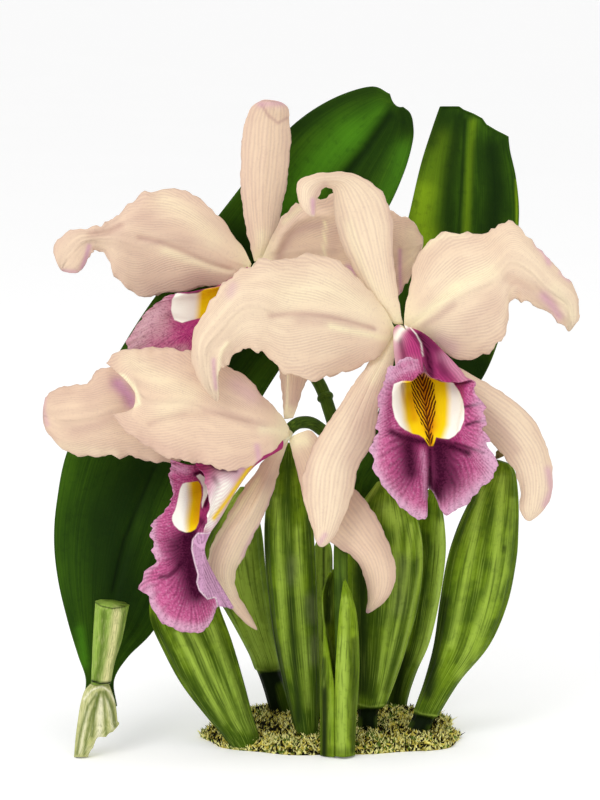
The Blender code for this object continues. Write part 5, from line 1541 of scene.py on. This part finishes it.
# A striped green part: how close its hatching is, its two own colours, and those of its light,
# dark and ash marks. The light and dark colours are largely painted highlight and painted shade,
# and they also draw its hatching and darken its foot.
BULB_GREENS = greens(16.0, (72, 98, 10), (112, 140, 24), (172, 200, 78), (42, 64, 6), (112, 118, 80))
SHEATH_GREENS = greens(46.0, (108, 136, 18), (126, 152, 28), (160, 186, 74), (44, 60, 14))
STEM_GREENS = greens(4.0, (60, 84, 22), (76, 102, 28), (112, 140, 48), (28, 44, 12))
STRAW_GREENS = greens(14.0, (176, 180, 112), (200, 200, 142), (238, 234, 200), (92, 108, 40))
STALK_GREENS = greens(16.0, (128, 160, 56), (150, 180, 76), (228, 220, 160), (74, 96, 30))
NEAR_BLACK_GREEN = colour(12, 24, 4)
DRY_BROWNS = (colour(54, 44, 22), colour(120, 108, 66))

# How many clouds of the second colour a metre holds, and how much darker the bulbs' feet are.
DRY_CLOUDS = 260.0
COLUMN_CLOUDS = 150.0
BULB_SHADE = 0.5

# The fields that run round and along a solid, and round and along a sheet.
ALONG_SOLID = ("turn", "t")
ALONG_SHEET = ("u", "v")

MOSS_NIGHT = colour(12, 14, 6)
MOSS_STRAW = colour(226, 210, 92)
MOSS_YELLOW = colour(255, 250, 166)
MOSS_GREEN = colour(96, 124, 40)
MOSS_OCHRE = colour(150, 130, 40)

# The brown feather in the front lip's throat, in half millimetres of the plate: the top of its
# middle and how that slants, its barbs, and between which heights down it starts, widens, gets a
# shaft, narrows and ends.
FEATHER_TOP = (421.5, 373.0)
FEATHER_LEAN = 0.12
BARB_SPACING = 2.9
BARB_LEAN = 0.44
FEATHER_STARTS = (371.0, 375.0)
FEATHER_WIDENS = (371.0, 386.0)
FEATHER_GETS_SHAFT = (385.0, 420.0)
FEATHER_NARROWS = (400.0, 436.0)
FEATHER_ENDS = (450.0, 440.0)
FEATHER_HALF_WIDTHS = (3.0, 11.5, 3.5)


def tepal_paint(name, creams, vein_phase):
    """A sepal or petal: pale, flushed towards its margins, with fine veins."""
    p = Paint(name)
    base, flush = creams
    s, t = p.field("s"), p.field("t")
    away = p.size_of(s)
    wander = p.noise(p.vector(s * 2.0, t * 5.0), 1.6) - 0.5
    broken = p.rise(p.noise(p.vector(s * 6.0, t * 5.0), 1.0), 0.25, 0.6)
    vein = p.lines(vein_phase(p, s, away, t) + wander * 0.9, 0.5) * broken * p.rise(t, 0.03, 0.25)
    grain = p.noise(p.spot(), 900.0, 3.0)
    cloud = p.noise(p.spot(), 55.0, 3.0)
    look = p.mix(p.rise(away + wander * 0.9, 0.35, 1.1) * 0.8, base, flush)
    look = p.mix(p.rise(cloud, 0.4, 0.75) * 0.4, look, flush)
    look = p.mix(p.rise(t, 0.16, 0.0) * 0.8, look, PALE_CREAM_AND_HIGHLIGHT)
    # Painted shade, painted highlights with paler midribs and bases, and a rosy tint that is partly
    # painted shade in folds.
    for kind, tint in (("deep", SHADE_GREY_PINK), ("glow", PALE_CREAM_AND_HIGHLIGHT), ("rosy", ROSY_AND_FOLD_SHADE)):
        look = p.mix(p.field(kind), look, tint)
    look = p.mix(vein * 0.3, look, VEIN)
    look = p.mix(p.rise(grain, 0.5, 0.8) * 0.2, look, VEIN)
    return p.finish(look, 0.7, vein * -1.0 + wander * 0.6, FINE_RELIEF)


def sepal_veins(p, s, away, t):
    """Nearly parallel lines along a sepal."""
    return s / (1.0 + t * t * 0.25) * VEINS_OF_SEPAL


def petal_veins(p, s, away, t):
    """Lines that leave a petal's midline and curve out to its margins."""
    return (t - p.math("POWER", away, 0.72) * 0.85) * VEINS_OF_PETAL


def feather(p):
    """Brown strokes that run down to the middle of the front lip's throat."""
    x, y = p.field("across") * MARK_SCALE, p.field("down") * MARK_SCALE
    drop = y - FEATHER_TOP[1]
    away = p.size_of(x - (drop * FEATHER_LEAN + FEATHER_TOP[0]))
    top, widest, foot = FEATHER_HALF_WIDTHS
    reach = p.rise(y, *FEATHER_WIDENS) * (widest - top) + top
    reach = reach - p.rise(y, *FEATHER_NARROWS) * (widest - foot)
    wander = p.noise(p.vector(x * 0.15, y * 0.15), 1.0) - 0.5
    barbs = p.lines((away + drop * BARB_LEAN) / BARB_SPACING + wander, 0.5) * 1.4
    inside = p.rise(reach - away + wander * 5.0, -0.8, 0.8)
    shaft = p.rise(away, 1.6, 0.5) * p.rise(y, *FEATHER_GETS_SHAFT) * 0.8
    span = p.rise(y, *FEATHER_STARTS) * p.rise(y, *FEATHER_ENDS)
    return p.least(p.math("MAXIMUM", barbs * inside, shaft) * span, 1.0)


def curled(p, look):
    """The flat lilac of the side lip's curled right half, with its thin white edge."""
    inside = p.field("curl")
    look = p.mix(p.rise(inside, -0.6, 0.6), look, CURL_LILAC)
    return p.mix(p.rise(p.size_of(inside - 0.9), 1.0, 0.0) * 0.5, look, MILK)


def throat(p, look, areas, wander):
    """The white and gold pad in a lip's throat."""
    pad = p.mix(p.rise(p.field("gold"), -4.5, 4.0), MILK, GOLD)
    pad = p.mix(p.field("ember") * 0.9, pad, EMBER)
    look = p.mix(p.rise(p.field("pad") + wander * 1.5, -0.7, 0.7), look, pad)
    if "crescent" in areas:
        look = p.mix(p.rise(p.field("crescent"), -0.6, 0.6), look, MILK)
    return look


def lip_back(p, marks, areas, u, v, wander):
    """The outside of a lip, striped from its claw."""
    stripes = p.lines(u * 80.0 + wander * 3.0, 0.5) * p.rise(v, 0.05, 0.3)
    look = p.mix(stripes * 0.5, MAGENTA, PLUM)
    for kind, tint in (("blush", BLUSH), ("shade", PLUM), ("milky", MILK), ("yolk", GOLD)):
        if kind in marks:
            look = p.mix(p.field(kind), look, tint)
    look = p.mix(stripes * 0.22, look, MAGENTA)
    return curled(p, look) if "curl" in areas else look


def lip_paint(name, rim, feathered):
    """A lip: magenta and hatched within, paler at its rim, with a white and gold throat."""
    p = Paint(name + "_look")
    marks, areas = kinds_of(name), AREAS[name]
    u, v = p.field("u"), p.field("v")
    wander = p.noise(p.vector(u * 9.0, v * 3.0), 1.3, 3.0) - 0.5
    breaks = p.noise(p.vector(u * 60.0, v * 9.0), 1.0, 3.0)
    hatch = p.lines(u * 100.0 + wander * 5.0, 0.5) * p.rise(breaks, 0.3, 0.6)
    speck = p.noise(p.spot(), 1000.0, 3.0)
    look = p.mix(p.rise(v + wander * 0.3, 0.6, 1.0), MAGENTA, ROSE)
    look = p.mix(p.rise(speck, 0.5, 0.75) * p.rise(v, 0.4, 0.9) * 0.45, look, rim)
    # The dark marks are the lip's own dark purple, and in places painted shadow lines beneath pleats,
    # folds and overlapping edges.
    for kind, tint in (("dark", PLUM), ("pale", rim)):
        look = p.mix(p.least(p.field(kind) * (0.7 + speck * 0.6), 1.0), look, tint)
    look = p.mix(p.rise(v + wander * 0.06, 0.94, 1.0) * 0.6, look, rim)
    if "curl" in areas:
        look = curled(p, look)
    look = p.mix(hatch * (0.42 - p.field("pale") * 0.25), look, PLUM)
    look = p.mix(p.rise(speck, 0.5, 0.3) * 0.35, look, PLUM)
    look = throat(p, look, areas, wander)
    if feathered:
        look = p.mix(feather(p), look, UMBER)
    look = p.mix(p.field("side"), look, lip_back(p, marks, areas, u, v, wander))
    return p.finish(look, 0.6, hatch * -0.6 + speck * 0.5, FINE_RELIEF)


def leaf_paint(name):
    """A thick green leaf: hatched along its veins, with sweeps of partly painted light and shade."""
    p = Paint(name + "_look")
    s, t = p.field("s"), p.field("t")
    wander = p.noise(p.vector(s * 3.0, t * 6.0), 1.5, 3.0) - 0.5
    stripe = p.noise(p.vector(s * 46.0, t * 3.0), 1.0, 4.0)
    mottle = p.noise(p.spot(), 300.0, 4.0)
    look = p.mix(p.rise(stripe + wander, 0.25, 0.8), *LEAF_GREENS)
    # Light marks are partly painted light, dark and near-black marks partly painted shade.
    for kind, tint in (("light", LEAF_PALE_AND_LIT_GREENS[name]), ("dark", LEAF_DARK_AND_SHADE_GREEN), ("ink", LEAF_NEAR_BLACK)):
        look = p.mix(p.least(p.field(kind) * (0.82 + stripe * 0.36), 1.0), look, tint)
    look = p.mix(p.rise(mottle, 0.5, 0.8) * 0.3, look, LEAF_MOTTLE)
    return p.finish(look, 0.6, stripe + mottle * 0.4, ROUGH_RELIEF)


def striped_paint(name, greens, marks, along, foot=0.0):
    """A green part, hatched along its length, with sweeps of mostly painted light and shade.

    along names the fields that run round it and along it, and foot says how much darker the end
    of its length is.
    """
    p = Paint(name)
    around, length = p.field(along[0]), p.field(along[1])
    wander = p.noise(p.vector(around * 2.0, length * 5.0), 1.2, 3.0) - 0.5
    hatch = p.noise(p.vector(around * greens["hatching"], length * 7.0), 1.0, 3.0)
    cloud = p.noise(p.spot(), 90.0, 4.0)
    mottle = p.noise(p.spot(), 420.0, 4.0)
    light, dark = greens["light"], greens["dark"]
    look = p.mix(p.rise(cloud + wander * 0.3, 0.35, 0.65), greens["base"], greens["second"])
    # Light marks are mostly painted highlights and dark marks painted shade; ash marks are grey blotches.
    for kind in ("light", "dark", "ash"):
        if kind in marks:
            share = p.least(p.field(kind) * (0.5 + cloud * 0.4 + hatch * 0.6), 1.0)
            look = p.mix(share, look, greens[kind])
    look = p.mix(p.rise(length + wander * 0.2, 0.45, 0.95) * foot, look, dark)
    look = p.mix(p.rise(hatch, 0.5, 0.7) * 0.3, look, light)
    look = p.mix(p.rise(hatch, 0.5, 0.3) * 0.55, look, dark)
    look = p.mix(p.rise(mottle, 0.5, 0.75) * 0.25, look, dark)
    # Near-black marks: the deepest painted shade, and dark rims and lines.
    if "ink" in marks:
        look = p.mix(p.least(p.field("ink") * 1.3, 1.0), look, NEAR_BLACK_GREEN)
    return p.finish(look, 0.55, hatch + mottle * 0.5, GREEN_RELIEF)


def moss_paint(name):
    """Moss: yellow and golden tips among dark ones, a few of them green."""
    p = Paint(name)
    tone = p.field("tone")
    grain = p.noise(p.spot(), 700.0, 3.0)
    look = p.mix(p.rise(tone, 0.18, 0.4), MOSS_NIGHT, MOSS_STRAW)
    look = p.mix(p.rise(tone, 0.4, 0.6), look, MOSS_YELLOW)
    look = p.mix(p.rise(tone, 0.9, 0.97), look, MOSS_GREEN)
    look = p.mix(p.rise(grain, 0.5, 0.8) * 0.3, look, MOSS_OCHRE)
    return p.finish(look, 0.85, grain, MOSS_RELIEF)


def plain_paint(name, colours, scale):
    """One clouded colour; scale is how many clouds a metre holds."""
    p = Paint(name)
    look = p.mix(p.rise(p.noise(p.spot(), scale, 4.0), 0.35, 0.65), *colours)
    return p.finish(look, 0.6, p.noise(p.spot(), scale * 3, 3.0), ROUGH_RELIEF)


def moss_place(out, turn):
    """A place on the mat's top; out is 0 in the middle and 1 at its edge."""
    middle = (MOSS_FRONT + MOSS_BACK) / 2
    half_depth = (MOSS_BACK - MOSS_FRONT) / 2
    power = MOSS_ROUNDNESS
    boxy = (np.abs(np.cos(turn)) ** power + np.abs(np.sin(turn)) ** power) ** (-1 / power)
    edge = 1 - 0.035 * (1 + np.sin(5 * turn + 0.7)) - 0.02 * (1 + np.sin(11 * turn))
    x = MOSS_HALF_WIDTH * boxy * edge * out * np.cos(turn)
    y = middle + half_depth * boxy * edge * out * np.sin(turn)
    rolling = np.sin(0.21 * x + 1.1) * np.sin(0.24 * y + 0.4) + 0.6 * np.sin(0.47 * x - 0.31 * y)
    fall = 1 - ramp(out, MOSS_PLATEAU) ** 2 * 0.62
    flat = np.stack([x, y, 0 * x], axis=-1)
    z = (MOSS_HEIGHT + 1.1 * rolling) * fall + 0.7 * lumps(flat, 3.5, 5) * fall
    return np.stack([x, y, np.maximum(z, 0.0)], axis=-1)


def moss_shell():
    """The uneven mat that the tufts stand on, painted dark as the shade beneath them."""
    circles, spokes = MOSS_SIZE
    turn = np.linspace(0, 2 * math.pi, spokes, endpoint=False)[None, :]
    out = np.linspace(MOSS_INNERMOST, 1, circles)[:, None]
    rings = moss_place(out, turn + 0 * out)
    rings[-1, :, 2] = 0.0
    # The mat's low tone is painted shade between the tufts.
    return shell(rings, {"tone": 0.24 + 0.2 * lumps(rings, 1.6, 6)})


def moss_tufts():
    """Small three-sided tips, close together, leaning every way."""
    draw = np.random.default_rng(4)
    out = np.minimum(np.sqrt(draw.uniform(0, 1.1, TUFTS)), 1.0)
    foot = moss_place(out, draw.uniform(0, 2 * math.pi, TUFTS))
    sunk = np.where(out > TUFTS_AT_EDGE, draw.uniform(0, 1, TUFTS), 1)
    foot[:, 2] = np.maximum(foot[:, 2] - TUFT_SINK, 0.0) * sunk
    reach = draw.uniform(*TUFT_HEIGHTS, TUFTS)
    lean = draw.normal(0, TUFT_LEAN, (TUFTS, 2)) * reach[:, None]
    tip = foot + np.concatenate([lean, reach[:, None]], axis=1)
    spin = draw.uniform(0, 2 * math.pi, TUFTS)
    points = [tip]
    for third in range(3):
        angle = spin + 2 * math.pi * third / 3
        points.append(foot + TUFT_RADIUS * np.stack([np.cos(angle), np.sin(angle), 0 * angle], axis=1))
    points = np.stack(points, axis=1).reshape(-1, 3)
    faces = []
    for i in range(0, 4 * TUFTS, 4):
        faces += [(i, i + 1, i + 2), (i, i + 2, i + 3), (i, i + 3, i + 1), (i + 1, i + 3, i + 2)]
    patchy = 0.6 + 0.28 * lumps(foot, 7.0, 7)
    for x, y, size in MOSS_SHADES:
        patchy -= 0.45 * np.exp(-((foot[:, 0] - x) ** 2 + (foot[:, 1] - y) ** 2) / size**2)
    tone = np.clip(patchy + draw.normal(0, 0.34, TUFTS), 0, 1)
    return points, faces, {"tone": np.repeat(tone, 4)}


def stem_shells():
    """The flower stem, its two side branches and its node rings."""
    shells = [shell(*rod_rings(STEM, STEM_RADII, STEM_SIZE), floor=0.0)]
    shells.append(shell(*rod_rings(PEDICEL_A, PEDICEL_A_RADII, PEDICEL_A_SIZE)))
    shells.append(shell(*rod_rings(PEDICEL_C, PEDICEL_C_RADII, PEDICEL_C_SIZE)))
    for place in NODE_RINGS:
        path = curve(STEM, place + np.array(NODE_RING_STEPS))
        shells.append(shell(*rod_rings(path, NODE_RING_RADII, NODE_RING_SIZE)))
    return shells


def pseudobulbs():
    """The seven bulbs, each darker towards its foot."""
    for name, sections in PSEUDOBULBS.items():
        rings, fields = bulb_rings(sections, BULB_SIZE, BULB_GROOVE)
        looks = striped_paint(name + "_look", BULB_GREENS, kinds_of(name), ALONG_SOLID, BULB_SHADE)
        solid(name, [shell(rings, fields, BULB_FOOT)], looks)


def leaves():
    """The two big leaves, the right one with a cut top."""
    for name, rows, cut in (("leaf_left", LEAF_LEFT, None), ("leaf_right", LEAF_RIGHT, LEAF_CUT)):
        waves = (*STILL, 0.0)
        looks = leaf_paint(name)
        blade(name, rows, LEAF_SIZE, LEAF_THICKNESS, waves, LEAF_CREASE, looks, "leaf_green", cut)


def sheath():
    """The folded sheath of the young shoot."""
    name = "young_shoot_sheath"
    looks = striped_paint("sheath", SHEATH_GREENS, kinds_of(name), ALONG_SHEET)
    ribbed(name, SHEATH, SHEATH_SIZE, SHEATH_THICKNESS, STILL, looks)


def stem():
    """The flower stem with its branches."""
    looks = striped_paint("stem", STEM_GREENS, (), ALONG_SOLID)
    solid("flower_stem", stem_shells(), looks)


def fragment():
    """The top of a cut bulb, its lower end torn off."""
    name = "bulb_fragment"
    rings, fields = bulb_rings(BULB_FRAGMENT, FRAGMENT_SIZE, FRAGMENT_GROOVE)
    rings = rings + UP * np.maximum(-over(rings, TORN_END), 0.0)[..., None]
    looks = striped_paint("straw", STRAW_GREENS, kinds_of(name), ALONG_SOLID)
    solid(name, [shell(rings, fields, 0.0)], looks)


def cut_stalk():
    """The cut flower stalk at the foot of the left leaf."""
    name = "cut_stalk"
    looks = striped_paint("cut", STALK_GREENS, kinds_of(name), ALONG_SOLID)
    solid(name, [shell(*bulb_rings(CUT_STALK, STALK_SIZE, 0.0))], looks)


def leaf_stub():
    """The small dry leaf base on top of the far right bulb."""
    looks = plain_paint("dry", DRY_BROWNS, DRY_CLOUDS)
    solid("leaf_stub", [shell(*rod_rings(LEAF_STUB, STUB_RADII, STUB_SIZE))], looks)


def moss():
    """The moss mat with its tufts."""
    solid("moss_mat", [moss_shell(), moss_tufts()], moss_paint("moss_look"))


def tepals():
    """The sepals and petals of the three blooms."""
    looks = {}
    for bloom, creams in CREAMS.items():
        for kind, veins in (("sepal", sepal_veins), ("petal", petal_veins)):
            looks[kind, bloom] = tepal_paint(kind + "_" + bloom, creams, veins)
    for name, (rows, wave) in TEPALS.items():
        bloom, kind = name.split("_")[1], name.split("_")[-1]
        waves = (wave, *(PETAL_FRILL if kind == "petal" else SEPAL_FRILL))
        blade(name, rows, TEPAL_SIZE, TEPAL_THICKNESS, waves, PETAL_CREASE, looks[kind, bloom],
              kind + "_cream")


def lips():
    """The lips of the three blooms; the front one has a brown feather in its throat."""
    for name, (ribs, wave) in LIPS.items():
        looks = lip_paint(name, LIP_RIMS[name], feathered=name == "bloom_a_lip")
        ribbed(name, ribs, LIP_SIZE, LIP_THICKNESS, (wave, LIP_FRILL), looks)


def columns():
    """The column of each bloom, inside its lip."""
    looks = plain_paint("column", COLUMN_WHITES, COLUMN_CLOUDS)
    for bloom, path in (("a", COLUMN_A), ("b", COLUMN_B), ("c", COLUMN_C)):
        rings, fields = rod_rings(path, COLUMN_RADII, COLUMN_SIZE)
        solid("bloom_" + bloom + "_column", [shell(rings, fields)], looks)


def stage():
    """A wide white floor that gives back a little light of its own, so that it stays white far off."""
    corners = ((-1, -1), (1, -1), (1, 1), (-1, 1))
    mesh = bpy.data.meshes.new("floor")
    mesh.from_pydata([(x * FLOOR_REACH, y * FLOOR_REACH, 0.0) for x, y in corners], [], [(0, 1, 2, 3)])
    floor = bpy.data.objects.new("floor", mesh)
    bpy.context.scene.collection.objects.link(floor)
    p = Paint("paper")
    mesh.materials.append(p.finish(p.mix(p.noise(p.spot(), 3.0), PAPER, WHITE), 0.9))
    p.shader.inputs["Emission Color"].default_value = WHITE
    p.shader.inputs["Emission Strength"].default_value = FLOOR_GLOW


def lights():
    """A soft key light from the upper left, one from above, and an even white sky."""
    world = bpy.data.worlds.new("studio")
    world.use_nodes = True
    sky = world.node_tree.nodes["Background"]
    sky.inputs["Color"].default_value = WHITE
    sky.inputs["Strength"].default_value = SKY
    bpy.context.scene.world = world
    for name, place, size, power in LAMPS:
        data = bpy.data.lights.new(name, "AREA")
        data.size = size
        data.energy = power
        stand(name, data, np.array(place))


def camera():
    """The camera, where the plate fills its frame."""
    data = bpy.data.cameras.new("camera")
    data.lens = LENS
    data.sensor_width = SENSOR
    data.clip_end = CLIP_END
    bpy.context.scene.camera = stand("camera", data, EYE)


def stand(name, data, place):
    """A lamp or camera at this place, turned to look at the middle of the plate."""
    thing = bpy.data.objects.new(name, data)
    bpy.context.scene.collection.objects.link(thing)
    thing.location = mathutils.Vector(place * MM)
    thing.rotation_euler = mathutils.Vector(AIM - place).to_track_quat("-Z", "Y").to_euler()
    return thing


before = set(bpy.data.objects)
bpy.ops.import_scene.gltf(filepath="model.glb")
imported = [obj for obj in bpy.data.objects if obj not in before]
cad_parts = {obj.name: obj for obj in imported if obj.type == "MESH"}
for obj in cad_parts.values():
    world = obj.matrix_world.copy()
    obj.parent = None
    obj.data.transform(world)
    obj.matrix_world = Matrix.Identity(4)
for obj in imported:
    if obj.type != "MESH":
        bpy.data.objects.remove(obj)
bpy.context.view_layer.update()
pseudobulbs()
leaves()
sheath()
stem()
fragment()
cut_stalk()
leaf_stub()
moss()
tepals()
lips()
columns()
stage()
lights()
camera()
bpy.context.scene.view_settings.view_transform = "Standard"
